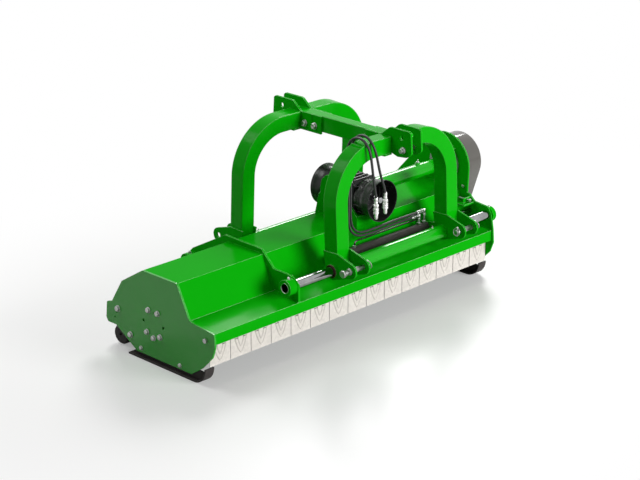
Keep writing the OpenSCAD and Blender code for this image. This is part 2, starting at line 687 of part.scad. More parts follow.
axle_r = 15;
roller_end = 12;
module roller_brackets() color(grey) {
    for (s = [0, 1]) {
        x0 = s == 0 ? plate_t : right_x - 8;
        disc_x = s == 0 ? plate_t + roller_gap - 10 : right_x - roller_gap + 2;
        difference() {
            union() {
                yz(x0, 8) polygon(smooth([[300, 262, 20], [352, 240, 24], [336, 150, 16], [250, 80, 16],
                    [180, 90, 20], [214, 138, 20]]));
                yz(s == 0 ? plate_t : disc_x, roller_gap - 2)
                    polygon([[276, 150], [322, 150], [322, 200], [276, 200]]);
                // Round plate at the roller's end
                yz(disc_x, 8) {
                    polygon([[276, 200], [322, 200], [330, 128], [352, 90], [300, 60], [282, 110]]);
                    translate([roller_y, roller_r]) circle(roller_r - 7);
                }
                x_cyl(s == 0 ? disc_x : right_x - roller_gap - roller_end, 10 + roller_end, axle_r, roller_y,
                      roller_r);
            }
            for (p = bracket_holes) x_cyl(x0 - 1, 10, 10.5, p.x, p.y);
            x_cyl(s == 0 ? disc_x - 1 : disc_x - 4, 13, 8, roller_y, roller_r);
        }
    }
}

piston_x = head_x - 10;
module cylinder_rod() color(bright) {
    x_cyl(piston_x, right_x - piston_x, cyl_rod, -cyl_y, cyl_z);
    x_cyl(piston_x, 24, cyl_bore - fit, -cyl_y, cyl_z);
    x_cyl(right_x, plate_t + 18, cyl_rod - 4, -cyl_y, cyl_z);
}

flap_pitch = inner_l / flap_n;
function flap_mid(i) = plate_t + flap_pitch * (i + 0.5);
module flap(i) color(pale) {
    w = flap_pitch - flap_gap;
    eye_r = rod_r + 4;
    front = -rod_y - eye_r;
    difference() {
        union() {
            translate([flap_mid(i) - w / 2, front, flap_z]) cube([w, flap_t, rod_z - flap_z]);
            for (s = [-1, 1]) x_cyl(flap_mid(i) + s * 42 - 16, 32, eye_r, -rod_y, rod_z);
            for (s = [-1, 1]) y_cyl(front - 4, 4, 6, flap_mid(i) + s * 42, lip_z - 2);
        }
        x_cyl(flap_mid(i) - w, 2 * w, rod_r + fit, -rod_y, rod_z);
    }
}
module front_flap_1() flap(0);
module front_flap_2() flap(1);
module front_flap_3() flap(2);
module front_flap_4() flap(3);
module front_flap_5() flap(4);
module front_flap_6() flap(5);
module front_flap_7() flap(6);
module front_flap_8() flap(7);
module front_flap_9() flap(8);
module front_flap_10() flap(9);
module front_flap_11() flap(10);
module front_flap_12() flap(11);
module front_flap_13() flap(12);
module front_flap_14() flap(13);
module front_flap_15() flap(14);

// Middle of hammer i in row 0 or 1
function hammer_x(row, i) = first_hammer + hammer_pitch * (i + row / 2);
function pin_y(row) = rotor_y + (row == 0 ? 1 : -1) * pin_ring;

module rotor() color(dark) {
    difference() {
        x_cyl(tube_x0, tube_x1 - tube_x0, tube_r, rotor_y, rotor_z);
        x_cyl(tube_x0 + 12, tube_x1 - tube_x0 - 24, tube_r - tube_wall, rotor_y, rotor_z);
        for (x = [tube_x0 - 1, tube_x1 - 13]) for (s = [-1, 1])
            x_cyl(x, 14, 9, rotor_y, rotor_z + s * 55);
    }
    x_cyl(plate_t + 4, tube_x0 - plate_t + 6, stub_r, rotor_y, rotor_z);
    x_cyl(tube_x1 - 10, pulley_x0 + pulley_w - tube_x1 + 16, stub_r, rotor_y, rotor_z);
}

// Plates that stand out of the tube on both sides of every hammer
ear_r = 18;
module rotor_ears() color(dark)
    for (row = [0, 1]) for (i = [0:row_n - 1]) for (s = [-1, 1])
        yz(hammer_x(row, i) + s * (hammer_eye_w / 2 + slack + ear_t / 2) - ear_t / 2, ear_t) difference() {
            union() {
                translate([pin_y(row), rotor_z]) circle(ear_r);
                translate([min(pin_y(row), rotor_y), rotor_z - ear_r]) square([pin_ring, 2 * ear_r]);
            }
            translate([rotor_y, rotor_z]) circle(tube_r);
            translate([pin_y(row), rotor_z]) circle(hammer_pin_r);
        }

module rotor_pulley() color(steel) pulley(lower_r, stub_r, rotor_y, rotor_z);

module hammer_pins() color(bright) {
    half = hammer_eye_w / 2 + slack + ear_t;
    for (row = [0, 1]) for (i = [0:row_n - 1]) {
        x_cyl(hammer_x(row, i) - half - 6, 2 * half + 12, hammer_pin_r, pin_y(row), rotor_z);
        for (x = [-half - 6, half])
            x_cyl(hammer_x(row, i) + x, 6, hammer_pin_r + 5, pin_y(row), rotor_z);
    }
}

module hammer_row(row) color(steel) {
    for (i = [0:row_n - 1]) translate([hammer_x(row, i), pin_y(row), rotor_z]) difference() {
        union() {
            rotate([0, 90, 0]) cylinder(h = hammer_eye_w, r = hammer_eye_r, center = true);
            rotate([90, 0, 0]) linear_extrude(hammer_t, center = true) polygon([
                [-hammer_eye_w / 2, 0], [hammer_eye_w / 2, 0], [hammer_eye_w / 2, -hammer_l * 0.45],
                [hammer_w / 2, -hammer_l * 0.75], [hammer_w / 2, -hammer_l], [-hammer_w / 2, -hammer_l],
                [-hammer_w / 2, -hammer_l * 0.75], [-hammer_eye_w / 2, -hammer_l * 0.45]]);
        }
        rotate([0, 90, 0]) cylinder(h = hammer_eye_w + 2, r = hammer_pin_r + fit, center = true);
    }
}
module hammer_row_1() hammer_row(0);
module hammer_row_2() hammer_row(1);

crown_r = 62;
module input_shaft() color(steel) {
    y_cyl(-gear_y - input_l, 2 * input_l, input_r, head_x, gear_z);
    y_cyl(-gear_y - input_l + spline_l, 2 * (input_l - spline_l), journal_r, head_x, gear_z);
    translate([head_x, -gear_y - cavity_y + 2, gear_z]) rotate([-90, 0, 0])
        cylinder(h = 20, r1 = crown_r, r2 = crown_r - 8);
}

module cross_shaft() color(steel) {
    x_cyl(head_x + 30, pulley_x0 + pulley_w + 6 - head_x - 30, cross_r, -gear_y, gear_z);
    translate([head_x + 34, -gear_y, gear_z]) rotate([0, 90, 0]) cylinder(h = 26, r1 = 18, r2 = 21.4);
    pulley(upper_r, cross_r - 2, -gear_y, gear_z);
}

module rear_roller() color(grey) {
    x0 = plate_t + roller_gap;
    difference() {
        x_cyl(x0, deck_l - 2 * x0, roller_r, roller_y, roller_r);
        x_cyl(x0 + roller_end, deck_l - 2 * (x0 + roller_end), roller_r - 6, roller_y, roller_r);
        x_cyl(x0 - 1, deck_l, axle_r + fit, roller_y, roller_r);
    }
}

// One half of an arch, from its foot to the clevis, in its own upright plane
module half_arch(foot_drop) {
    bend_x = -foot_w / 2 - leg / 2 + bend_r;
    bend_z = arch_z - bend_r;
    difference() {
        union() {
            translate([-foot_w / 2 - leg / 2, -leg / 2, foot_drop]) cube([leg, leg, bend_z - foot_drop]);
            translate([bend_x, 0, bend_z]) rotate([90, 0, 0]) rotate([0, 0, 90]) rotate_extrude(angle = 90)
                translate([bend_r - leg, -leg / 2]) square([leg, leg]);
            translate([bend_x, -leg / 2, beam_z0]) cube([-clevis_gap / 2 - clevis_t - bend_x, leg, leg]);
        }
        translate([-foot_w / 2 - leg / 2 + leg_wall, -leg / 2 + leg_wall, foot_drop - 1])
            cube([leg - 2 * leg_wall, leg - 2 * leg_wall, bend_z - foot_drop + 1]);
        translate([bend_x, 0, bend_z]) rotate([90, 0, 0]) rotate([0, 0, 90]) rotate_extrude(angle = 90)
            translate([bend_r - leg + leg_wall, -leg / 2 + leg_wall]) square([leg - 2 * leg_wall, leg - 2 * leg_wall]);
        translate([bend_x, -leg / 2 + leg_wall, beam_z0 + leg_wall])
            cube([-clevis_gap / 2 - clevis_t - bend_x + 1, leg - 2 * leg_wall, leg - 2 * leg_wall]);
    }
}

module in_arch(y, side)
    translate([head_x, y, arch_z]) rotate([-side * lean, 0, 0]) translate([0, 0, -arch_z]) children();

module arch(y, side, foot_z, bar_y, bar_z) difference() {
    in_arch(y, side) {
        half_arch(foot_z);
        mirror([1, 0, 0]) half_arch(foot_z);
    }
    x_cyl(sleeve_x0 - 10, sleeve_l + 20, sleeve_r, bar_y, bar_z);
}

module arch_front() color(green) arch(-front_arch_y, 1, front_bar_z - 2, -front_bar_y, front_bar_z);
module arch_rear() color(green) arch(rear_arch_y, -1, rear_bar_z - 2, rear_bar_y, rear_bar_z);

module top_beam() color(green) difference() {
    translate([head_x - clevis_gap / 2, -front_arch_y - leg / 2, beam_z0])
        cube([clevis_gap, front_arch_y + rear_arch_y + leg, leg]);
    translate([head_x - clevis_gap / 2 + leg_wall, -front_arch_y - leg / 2 + leg_wall, beam_z0 + leg_wall])
        cube([clevis_gap - 2 * leg_wall, front_arch_y + rear_arch_y + leg - 2 * leg_wall, leg - 2 * leg_wall]);
    for (p = fish_bolts) x_cyl(head_x - clevis_gap, 2 * clevis_gap, 10.5, p.x, p.y);
}

module slide_sleeves() color(green) {
    for (p = [[-front_bar_y, front_bar_z], [rear_bar_y, rear_bar_z]]) difference() {
        x_cyl(sleeve_x0, sleeve_l, sleeve_r, p.x, p.y);
        x_cyl(sleeve_x0 - 1, sleeve_l + 2, bar_r + fit, p.x, p.y);
    }
}

// A lower lug plate in front of the bar; the rear ones are mirrored
module lug(x, low_z, bar_y, bar_z, hole_r, eye_r) {
    dz = low_z - front_low_z;
    yz(x, lug_t) difference() {
        union() {
            polygon(concat(
                [[-312, 476 + dz], [-410, 480 + dz]],
                arc([-low_y, low_z], lug_r, 108, 250, 12),
                [[-bar_y, bar_z - 50]],
                [[-bar_y + 50, bar_z + 10]]));
            translate([-bar_y, bar_z]) circle(50);
            if (eye_r > 0) {
                translate([-cyl_y, cyl_z]) circle(cyl_r);
                polygon([[-bar_y, bar_z + 46], [-cyl_y + 10, cyl_z + 26], [-cyl_y, cyl_z], [-bar_y, bar_z]]);
            }
        }
        translate([-bar_y, bar_z]) circle(sleeve_r);
        translate([-low_y, low_z]) circle(hole_r);
        if (eye_r > 1) translate([-cyl_y, cyl_z]) circle(eye_r);
    }
}

module hitch_lugs() color(green) {
    for (m = [left_leg, right_leg]) for (s = [-1, 1]) {
        x = m + s * (lug_gap / 2 + lug_t / 2) - lug_t / 2;
        eye = m == left_leg && s == 1 ? 1 : m == right_leg && s == -1 ? cyl_rod + 1.5 : 0;
        lug(x, front_low_z, front_bar_y, front_bar_z, low_pin_r, eye);
        mirror([0, 1, 0]) lug(x, rear_low_z, rear_bar_y, rear_bar_z, low_bore_r, 0);
    }
}

clevis_nose = [[-305, arch_z, 20], [-top_y + 86, top_z + 44, 30], [-top_y - 51, top_z + 44, 12],
               [-top_y - 64, top_z + 35, 8], [-top_low_y - 57, top_low_z - 13, 20],
               [-top_low_y - 23, top_low_z - 38, 20], [-top_low_y + 42, top_low_z - 45, 0]];
clevis_front = concat([[-190, beam_z0, 0], [-190, arch_z, 0]], clevis_nose,
                      [[-front_arch_y - leg / 2 - 6, beam_z0, 0]]);
clevis_rear = concat([[-147, beam_z0 - 12, 0], [-147, arch_z, 0]], clevis_nose);
fish_bolts = [[272, 958], [195, 957]];

module top_clevises() color(green) {
    for (x = [clevis_x0, clevis_x1 - clevis_t]) yz(x, clevis_t) {
        difference() {
            polygon(smooth(clevis_front));
            translate([-top_y, top_z]) circle(top_bore_r);
            translate([-top_low_y, top_low_z]) circle(top_bore_r);
        }
        difference() {
            polygon(smooth(mirrored(clevis_rear)));
            translate([top_y, top_z]) circle(top_bore_r);
            translate([top_low_y, top_low_z]) circle(top_bore_r);
            for (p = fish_bolts) translate(p) circle(10.5);
        }
    }
    // Gusset plates under the joints of the arches
    for (s = [-1, 1]) for (x = [-100, clevis_gap / 2 + clevis_t])
        in_arch(s == -1 ? -front_arch_y : rear_arch_y, -s)
            translate([x, -leg / 2, beam_z0 - 10]) cube([100 - clevis_gap / 2 - clevis_t, leg, 10]);
}

module hitch_pins() color(bright) {
    for (m = [left_leg, right_leg]) {
        x0 = m - lug_gap / 2 - lug_t;
        out = m == left_leg ? 59 : 30;
        x_cyl(m - lug_gap / 2, lug_gap, low_pin_r, -low_y, front_low_z);
        x_cyl(x0 - out, out + lug_t, low_pin_r - fit, -low_y, front_low_z);
        x_cyl(m + lug_gap / 2, lug_t + 30, low_pin_r - fit, -low_y, front_low_z);
        z_cyl(front_low_z - 24, 54, 4, m + lug_gap / 2 + lug_t + 18, -low_y);
        if (m == left_leg) {
            x_cyl(x0 - 8, 8, low_pin_r + 5, -low_y, front_low_z);
            x_cyl(x0 - out, 14, low_pin_r + 6, -low_y, front_low_z);
        } else z_cyl(front_low_z - 24, 54, 4, x0 - 18, -low_y);
    }
    // Spare pin kept in the lower top link holes
    x_cyl(clevis_x0 - 26, clevis_x1 - clevis_x0 + 52, top_bore_r - fit, -top_low_y, top_low_z);
    x_cyl(clevis_x0 - 10, 10, top_bore_r + 6, -top_low_y, top_low_z);
    z_cyl(top_low_z - 24, 50, 4, clevis_x1 + 14, -top_low_y);
}

module headstock_bolts() color(bright)
    for (p = fish_bolts) x_bolt(clevis_x0, -1, p.x, p.y, 10, clevis_x1 - clevis_x0);

module cylinder_barrel() color(grey) difference() {
    x_cyl(cyl_x0, cyl_x1 - cyl_x0, cyl_r, -cyl_y, cyl_z);
    x_cyl(cyl_x0 + 14, cyl_x1 - cyl_x0 - 44, cyl_bore, -cyl_y, cyl_z);
    x_cyl(cyl_x1 - 40, 42, cyl_rod + fit, -cyl_y, cyl_z);
}

module cylinder_fittings() color(bright) difference() {
    union() {
        for (q = [[port_1, elbow_1_z], [port_2, elbow_2_z]]) {
            z_cyl(cyl_z, q.y - cyl_z, 8, q.x, -cyl_y);
            translate([q.x, -cyl_y, cyl_z + cyl_r - 4]) cylinder(h = 15, r = 13, $fn = 6);
            translate([q.x, -cyl_y, q.y - 25]) cylinder(h = 12, r = 12, $fn = 6);
            z_cyl(q.y - 10, 20, 10, q.x, -cyl_y);
            x_cyl(q.x - hose_out, hose_out, 8, -cyl_y, q.y);
        }
        // Steel pipe to the far end of the barrel
        x_cyl(pipe_x, port_1 - pipe_x, 5, -cyl_y, cyl_z + 60);
        z_cyl(cyl_z, 67, 7, pipe_x, -cyl_y);
        translate([pipe_x, -cyl_y, cyl_z + cyl_r - 4]) cylinder(h = 14, r = 10, $fn = 6);
    }
    x_cyl(cyl_x0, cyl_x1 - cyl_x0, cyl_r, -cyl_y, cyl_z);
}

module hose_left() color(dark) sweep_tube(hose_1_path, hose_d / 2);
module hose_right() color(dark) sweep_tube(hose_2_path, hose_d / 2);
module quick_couplers() color(bright) {
    for (c = [coupler_1, coupler_2]) {
        z_cyl(c.z - 26, 26, 9, c.x, c.y);
        z_cyl(c.z - coupler_l, coupler_l - 26, coupler_r, c.x, c.y);
    }
}

module placed() translate([-frame_x, 0, 0]) children();

placed() deck_shell();
placed() end_plate_left();
placed() end_plate_right();
placed() bar_bracket();
placed() bar_bosses();
placed() slide_bars();
placed() skid_left();
placed() skid_right();
placed() deck_bolts();
placed() flap_rod();
placed() rear_curtain();
placed() rotor_bearings();
placed() drive_belts();
placed() belt_cover();
placed() belt_tensioner();
placed() drive_tube();
placed() shaft_bearing();
placed() shaft_shield();
placed() gearbox_case();
placed() gearbox_stand();
placed() shaft_guards();
placed() roller_brackets();
placed() cylinder_rod();
placed() front_flap_1();
placed() front_flap_2();
placed() front_flap_3();
placed() front_flap_4();
placed() front_flap_5();
placed() front_flap_6();
placed() front_flap_7();
placed() front_flap_8();
placed() front_flap_9();
placed() front_flap_10();
placed() front_flap_11();
placed() front_flap_12();
placed() front_flap_13();
placed() front_flap_14();
placed() front_flap_15();
placed() rotor();
placed() rotor_ears();
placed() rotor_pulley();
placed() hammer_pins();
placed() hammer_row_1();
placed() hammer_row_2();
placed() input_shaft();
placed() cross_shaft();
placed() rear_roller();
placed() arch_front();
placed() arch_rear();
placed() top_beam();
placed() slide_sleeves();
placed() hitch_lugs();
placed() top_clevises();
placed() hitch_pins();
placed() headstock_bolts();
placed() cylinder_barrel();
placed() cylinder_fittings();
placed() hose_left();
placed() hose_right();
placed() quick_couplers();
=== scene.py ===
import math

import bmesh
import bpy
from bpy.props import FloatProperty, FloatVectorProperty, IntProperty, PointerProperty
from mathutils import Matrix, Vector


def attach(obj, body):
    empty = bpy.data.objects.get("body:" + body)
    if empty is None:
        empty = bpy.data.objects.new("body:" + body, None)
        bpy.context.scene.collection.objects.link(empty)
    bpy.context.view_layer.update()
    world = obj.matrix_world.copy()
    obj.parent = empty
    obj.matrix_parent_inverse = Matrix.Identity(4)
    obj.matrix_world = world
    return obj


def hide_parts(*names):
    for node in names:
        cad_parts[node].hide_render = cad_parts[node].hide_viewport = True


bl_info = {
    "name": "Flail mower",
    "version": (1, 0, 0),
    "blender": (4, 5, 0),
    "location": "View3D > Sidebar > Mower",
    "description": "Dresses a side-shift flail mower with its finishes and fine parts",
    "category": "Object",
}

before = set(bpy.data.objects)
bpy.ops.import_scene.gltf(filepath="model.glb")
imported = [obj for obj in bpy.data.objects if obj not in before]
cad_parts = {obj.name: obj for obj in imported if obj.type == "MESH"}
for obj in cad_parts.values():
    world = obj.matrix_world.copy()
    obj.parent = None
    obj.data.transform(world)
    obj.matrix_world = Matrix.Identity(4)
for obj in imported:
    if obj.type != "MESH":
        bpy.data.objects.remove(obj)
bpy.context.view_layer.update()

# Middle of the frame along X, measured from the left end plate, in metres
MIDDLE = 1.138

# Length over the two end plates, and the place of the headstock's middle along it
DECK = 2.150
HEAD = 1.380

# Axes along X, each as (y, z): the two slide bars, the rotor with the lower pulley, the shaft with the
# upper pulley, the shift cylinder, the lower hitch pins and the spare top pin
BARS = ((-0.380, 0.377), (0.386, 0.321))
ROTOR = (0.029, 0.219)
SHAFT = (-0.062, 0.622)
CYLINDER = (-0.262, 0.376)
LOW_PINS = (-0.508, 0.408)
TOP_PIN = (-0.467, 0.961)

# Gearbox faces that the input shaft passes through, as (side, y)
GEARBOX_FACES = ((-1, -0.147), (1, 0.023))

# Front flaps, and the lines pressed into each as (half width at the top, lower end), in shares of the
# flap. Then where the lines start, how wide they are, and the flap width that they are drawn for
FLAP_COUNT = 15
FLAP_LINES = ((0.18, 0.64), (0.34, 0.87))
LINE_TOP = 0.16
LINE_WIDTH = 0.0034
LINE_SPAN = 0.139

# Colour of settled dust
DUST = (0.30, 0.28, 0.24, 1.0)

FINISH_OF_NODE = {
    "deck_shell": "green_paint", "end_plate_left": "green_plate", "end_plate_right": "green_paint",
    "bar_bracket": "green_paint", "bar_bosses": "green_paint", "slide_bars": "chrome",
    "skid_left": "grey_paint", "skid_right": "grey_paint", "deck_bolts": "zinc_steel",
    "flap_rod": "zinc_steel", "rear_curtain": "black_rubber", "rotor_bearings": "grey_paint",
    "drive_belts": "black_rubber", "belt_cover": "grey_paint", "belt_tensioner": "green_paint",
    "drive_tube": "green_round", "shaft_bearing": "bare_steel", "shaft_shield": "green_paint",
    "gearbox_case": "black_casting", "gearbox_stand": "green_paint", "shaft_guards": "black_plastic",
    "roller_brackets": "grey_paint", "cylinder_rod": "chrome", "rotor": "black_casting",
    "rotor_pulley": "bare_steel", "hammer_pins": "zinc_steel", "hammer_row_1": "forged_steel",
    "hammer_row_2": "forged_steel", "input_shaft": "bare_steel", "cross_shaft": "bare_steel",
    "rear_roller": "grey_paint", "arch_front": "green_tube", "arch_rear": "green_tube",
    "top_beam": "green_tube", "slide_sleeves": "green_round", "hitch_lugs": "green_paint",
    "top_clevises": "green_paint", "hitch_pins": "zinc_steel", "headstock_bolts": "zinc_steel",
    "cylinder_barrel": "grey_paint", "cylinder_fittings": "zinc_steel", "rotor_ears": "black_casting",
    "hose_left": "black_rubber", "hose_right": "black_rubber", "quick_couplers": "bright_zinc",
}
for number in range(1, FLAP_COUNT + 1):
    FINISH_OF_NODE["front_flap_%d" % number] = "galvanised"

# The two hose routes, from the cylinder's ports over the front arch to the couplers
HOSE_LEFT = [
    (0.534, -0.262, 0.455), (0.514, -0.262, 0.455), (0.480, -0.2625, 0.4555), (0.432, -0.265, 0.457),
    (0.382, -0.268, 0.459), (0.332, -0.271, 0.460), (0.282, -0.275, 0.460), (0.232, -0.279, 0.461),
    (0.182, -0.283, 0.462), (0.132, -0.287, 0.465), (0.084, -0.290, 0.469), (0.040, -0.2915, 0.4785),
    (0.005, -0.292, 0.496), (-0.020, -0.292, 0.525), (-0.032, -0.292, 0.562), (-0.036, -0.292, 0.604),
    (-0.036, -0.292, 0.650), (-0.035, -0.292, 0.698), (-0.033, -0.289, 0.746), (-0.030, -0.281, 0.794),
    (-0.027, -0.272, 0.842), (-0.023, -0.265, 0.890), (-0.019, -0.261, 0.936), (-0.016, -0.263, 0.974),
    (-0.013, -0.274, 1.006), (-0.010, -0.296, 1.031), (-0.007, -0.325, 1.043), (-0.004, -0.355, 1.040),
    (-0.001, -0.382, 1.022), (0.002, -0.401, 0.994), (0.006, -0.410, 0.960), (0.011, -0.413, 0.922),
    (0.018, -0.413, 0.880), (0.027, -0.411, 0.836), (0.037, -0.408, 0.792), (0.048, -0.405, 0.752),
    (0.057, -0.403, 0.722), (0.060, -0.402, 0.702),
]
HOSE_RIGHT = [
    (0.577, -0.262, 0.474), (0.557, -0.262, 0.474), (0.523, -0.262, 0.475), (0.472, -0.2625, 0.476),
    (0.422, -0.264, 0.477), (0.372, -0.266, 0.478), (0.322, -0.269, 0.479), (0.272, -0.272, 0.4795),
    (0.222, -0.276, 0.480), (0.172, -0.280, 0.481), (0.124, -0.284, 0.483), (0.084, -0.288, 0.487),
    (0.050, -0.290, 0.495), (0.022, -0.290, 0.510), (0.000, -0.290, 0.533), (-0.013, -0.290, 0.565),
    (-0.018, -0.290, 0.604), (-0.019, -0.290, 0.650), (-0.018, -0.290, 0.694), (-0.016, -0.288, 0.742),
    (-0.011, -0.282, 0.790), (-0.005, -0.273, 0.838), (0.002, -0.266, 0.886), (0.008, -0.262, 0.934),
    (0.014, -0.263, 0.976), (0.018, -0.274, 1.010), (0.022, -0.296, 1.037), (0.026, -0.325, 1.050),
    (0.030, -0.356, 1.046), (0.034, -0.383, 1.027), (0.039, -0.402, 0.998), (0.046, -0.411, 0.962),
    (0.056, -0.414, 0.920), (0.069, -0.413, 0.876), (0.085, -0.410, 0.834), (0.103, -0.407, 0.794),
    (0.119, -0.404, 0.758), (0.132, -0.402, 0.715),
]


class MowerSizes(bpy.types.PropertyGroup):
    """Sizes of the fine parts that dress the mower"""
    edge: FloatProperty(name="Edge radius", description="Roundness of cut and folded edges",
                        default=0.0025, min=0.0005, max=0.02, unit="LENGTH")
    tube_edge: FloatProperty(name="Tube edge radius", description="Roundness of the square arch tubes",
                             default=0.009, min=0.001, max=0.03, unit="LENGTH")
    weld: FloatProperty(name="Weld radius", description="Radius of a weld bead",
                        default=0.0042, min=0.001, max=0.01, unit="LENGTH")
    groove: FloatProperty(name="Groove depth", description="Depth of the lines pressed into a flap",
                          default=0.0028, min=0.0, max=0.006, unit="LENGTH")
    flap_steps: IntProperty(name="Flap steps", description="Divisions across one flap",
                            default=64, min=8, max=90)
    hose: FloatProperty(name="Hose diameter", description="Diameter of the hydraulic hoses",
                        default=0.014, min=0.008, max=0.02, unit="LENGTH")


def paint(name, description, default):
    return FloatVectorProperty(name=name, description=description, default=default, min=0, max=1, size=3,
                               subtype="COLOR")


class MowerColours(bpy.types.PropertyGroup):
    """Colours of the finishes, as linear values"""
    green: paint("Green paint", "Gloss paint of the frame", (0.003, 0.42, 0.003))
    grey: paint("Grey paint", "Satin paint of skids, roller and cover", (0.062, 0.055, 0.054))
    cover: paint("Cover paint", "Gloss grey of the belt cover", (0.105, 0.098, 0.088))
    casting: paint("Black casting", "Painted casting of the gearbox", (0.016, 0.017, 0.018))
    plastic: paint("Black plastic", "Moulded shaft guards", (0.014, 0.014, 0.014))
    chrome: paint("Chrome", "Plated slide bars", (0.34, 0.35, 0.35))
    zinc: paint("Zinc", "Plated bolts and pins", (0.40, 0.41, 0.40))
    steel: paint("Bare steel", "Machined steel", (0.36, 0.36, 0.37))
    pipe: paint("Pipe", "Darkened steel pipe of the shift cylinder", (0.055, 0.05, 0.05))
    forged: paint("Forged steel", "Forged hammers", (0.10, 0.095, 0.095))
    rubber: paint("Rubber", "Hoses, belts and curtain", (0.013, 0.013, 0.014))
    sheet: paint("Galvanised sheet", "Front flaps", (0.75, 0.71, 0.655))
    bronze: paint("Bronze", "Wiper rings at the sleeves' ends", (0.055, 0.030, 0.020))
    bright: paint("Bright zinc", "Plated quick couplers", (0.74, 0.74, 0.72))


def sizes():
    return bpy.context.scene.mower_sizes


def colours():
    return bpy.context.scene.mower_colours


def new_group(name, inputs, outputs):
    group = bpy.data.node_groups.new(name, "ShaderNodeTree")
    for label, kind, value in inputs:
        socket = group.interface.new_socket(label, in_out="INPUT", socket_type=kind)
        if value is not None:
            socket.default_value = value
    for label, kind in outputs:
        group.interface.new_socket(label, in_out="OUTPUT", socket_type=kind)
    return group, group.nodes.new("NodeGroupInput"), group.nodes.new("NodeGroupOutput")


def ranged(nodes, low, high, floor=0.0):
    """A node that turns the range from low to high into floor to 1"""
    node = nodes.new("ShaderNodeMapRange")
    node.inputs["From Min"].default_value = low
    node.inputs["From Max"].default_value = high
    node.inputs["To Min"].default_value = floor
    return node


def calculation(nodes, operation):
    node = nodes.new("ShaderNodeMath")
    node.operation = operation
    return node


def colour_mix(nodes):
    node = nodes.new("ShaderNodeMix")
    node.data_type = "RGBA"
    return node


def rounded_edge_group():
    """Rounds edges in the shading and finds them; the mask marks them for a painted highlight, stronger on
    edges that face up, and partly for rubbed paint in chips
    """
    if "Rounded edge" in bpy.data.node_groups:
        return bpy.data.node_groups["Rounded edge"]
    group, enter, leave = new_group(
        "Rounded edge",
        [("Vector", "NodeSocketVector", None), ("Radius", "NodeSocketFloat", 0.003),
         ("Highlight And Wear", "NodeSocketFloat", 0.5)],
        [("Mask", "NodeSocketFloat"), ("Normal", "NodeSocketVector")])
    nodes, links = group.nodes, group.links
    bevel = nodes.new("ShaderNodeBevel")
    bevel.samples = 6
    geometry = nodes.new("ShaderNodeNewGeometry")
    dot = nodes.new("ShaderNodeVectorMath")
    dot.operation = "DOT_PRODUCT"
    turn = ranged(nodes, 0.988, 0.92)
    chips = nodes.new("ShaderNodeTexNoise")
    chips.inputs["Scale"].default_value = 55.0
    chips.inputs["Detail"].default_value = 4.0
    spots = ranged(nodes, 0.40, 0.66, 0.6)
    # Painted light: edges that face up get more of the painted highlight, as if lit from above
    split = nodes.new("ShaderNodeSeparateXYZ")
    above = ranged(nodes, 0.0, 0.5, 0.1)
    lit = calculation(nodes, "MULTIPLY")
    mix = calculation(nodes, "MULTIPLY")
    strength = calculation(nodes, "MULTIPLY")
    links.new(enter.outputs["Radius"], bevel.inputs["Radius"])
    links.new(bevel.outputs["Normal"], dot.inputs[0])
    links.new(geometry.outputs["Normal"], dot.inputs[1])
    links.new(dot.outputs["Value"], turn.inputs["Value"])
    links.new(enter.outputs["Vector"], chips.inputs["Vector"])
    links.new(chips.outputs["Fac"], spots.inputs["Value"])
    links.new(bevel.outputs["Normal"], split.inputs["Vector"])
    links.new(split.outputs["Z"], above.inputs["Value"])
    links.new(turn.outputs["Result"], lit.inputs[0])
    links.new(above.outputs["Result"], lit.inputs[1])
    links.new(lit.outputs["Value"], mix.inputs[0])
    links.new(spots.outputs["Result"], mix.inputs[1])
    # The mask's strength sets how much painted highlight, partly rubbed paint, the edges get
    links.new(mix.outputs["Value"], strength.inputs[0])
    links.new(enter.outputs["Highlight And Wear"], strength.inputs[1])
    links.new(strength.outputs["Value"], leave.inputs["Mask"])
    links.new(bevel.outputs["Normal"], leave.inputs["Normal"])
    return group


def sprayed_surface_group():
    """Fine grain, soft clouds and settled dust that every finish shares"""
    if "Sprayed surface" in bpy.data.node_groups:
        return bpy.data.node_groups["Sprayed surface"]
    group, enter, leave = new_group(
        "Sprayed surface",
        [("Vector", "NodeSocketVector", None), ("Grain Scale", "NodeSocketFloat", 300.0),
         ("Cloud Scale", "NodeSocketFloat", 3.0)],
        [("Grain", "NodeSocketFloat"), ("Cloud", "NodeSocketFloat"), ("Dust", "NodeSocketFloat")])
    nodes, links = group.nodes, group.links
    grain = nodes.new("ShaderNodeTexNoise")
    grain.inputs["Detail"].default_value = 3.0
    cloud = nodes.new("ShaderNodeTexNoise")
    cloud.inputs["Detail"].default_value = 5.0
    cloud.inputs["Roughness"].default_value = 0.55
    spread = ranged(nodes, 0.3, 0.7)
    geometry = nodes.new("ShaderNodeNewGeometry")
    split = nodes.new("ShaderNodeSeparateXYZ")
    up = ranged(nodes, 0.3, 1.0)
    settled = calculation(nodes, "MULTIPLY")
    for texture, label in ((grain, "Grain Scale"), (cloud, "Cloud Scale")):
        links.new(enter.outputs["Vector"], texture.inputs["Vector"])
        links.new(enter.outputs[label], texture.inputs["Scale"])
    links.new(cloud.outputs["Fac"], spread.inputs["Value"])
    links.new(geometry.outputs["Normal"], split.inputs["Vector"])
    links.new(split.outputs["Z"], up.inputs["Value"])
    links.new(up.outputs["Result"], settled.inputs[0])
    links.new(spread.outputs["Result"], settled.inputs[1])
    links.new(grain.outputs["Fac"], leave.inputs["Grain"])
    links.new(spread.outputs["Result"], leave.inputs["Cloud"])
    links.new(settled.outputs["Value"], leave.inputs["Dust"])
    return group


def scaled(colour, factor):
    return tuple(min(1.0, c * factor) for c in colour) + (1.0,)


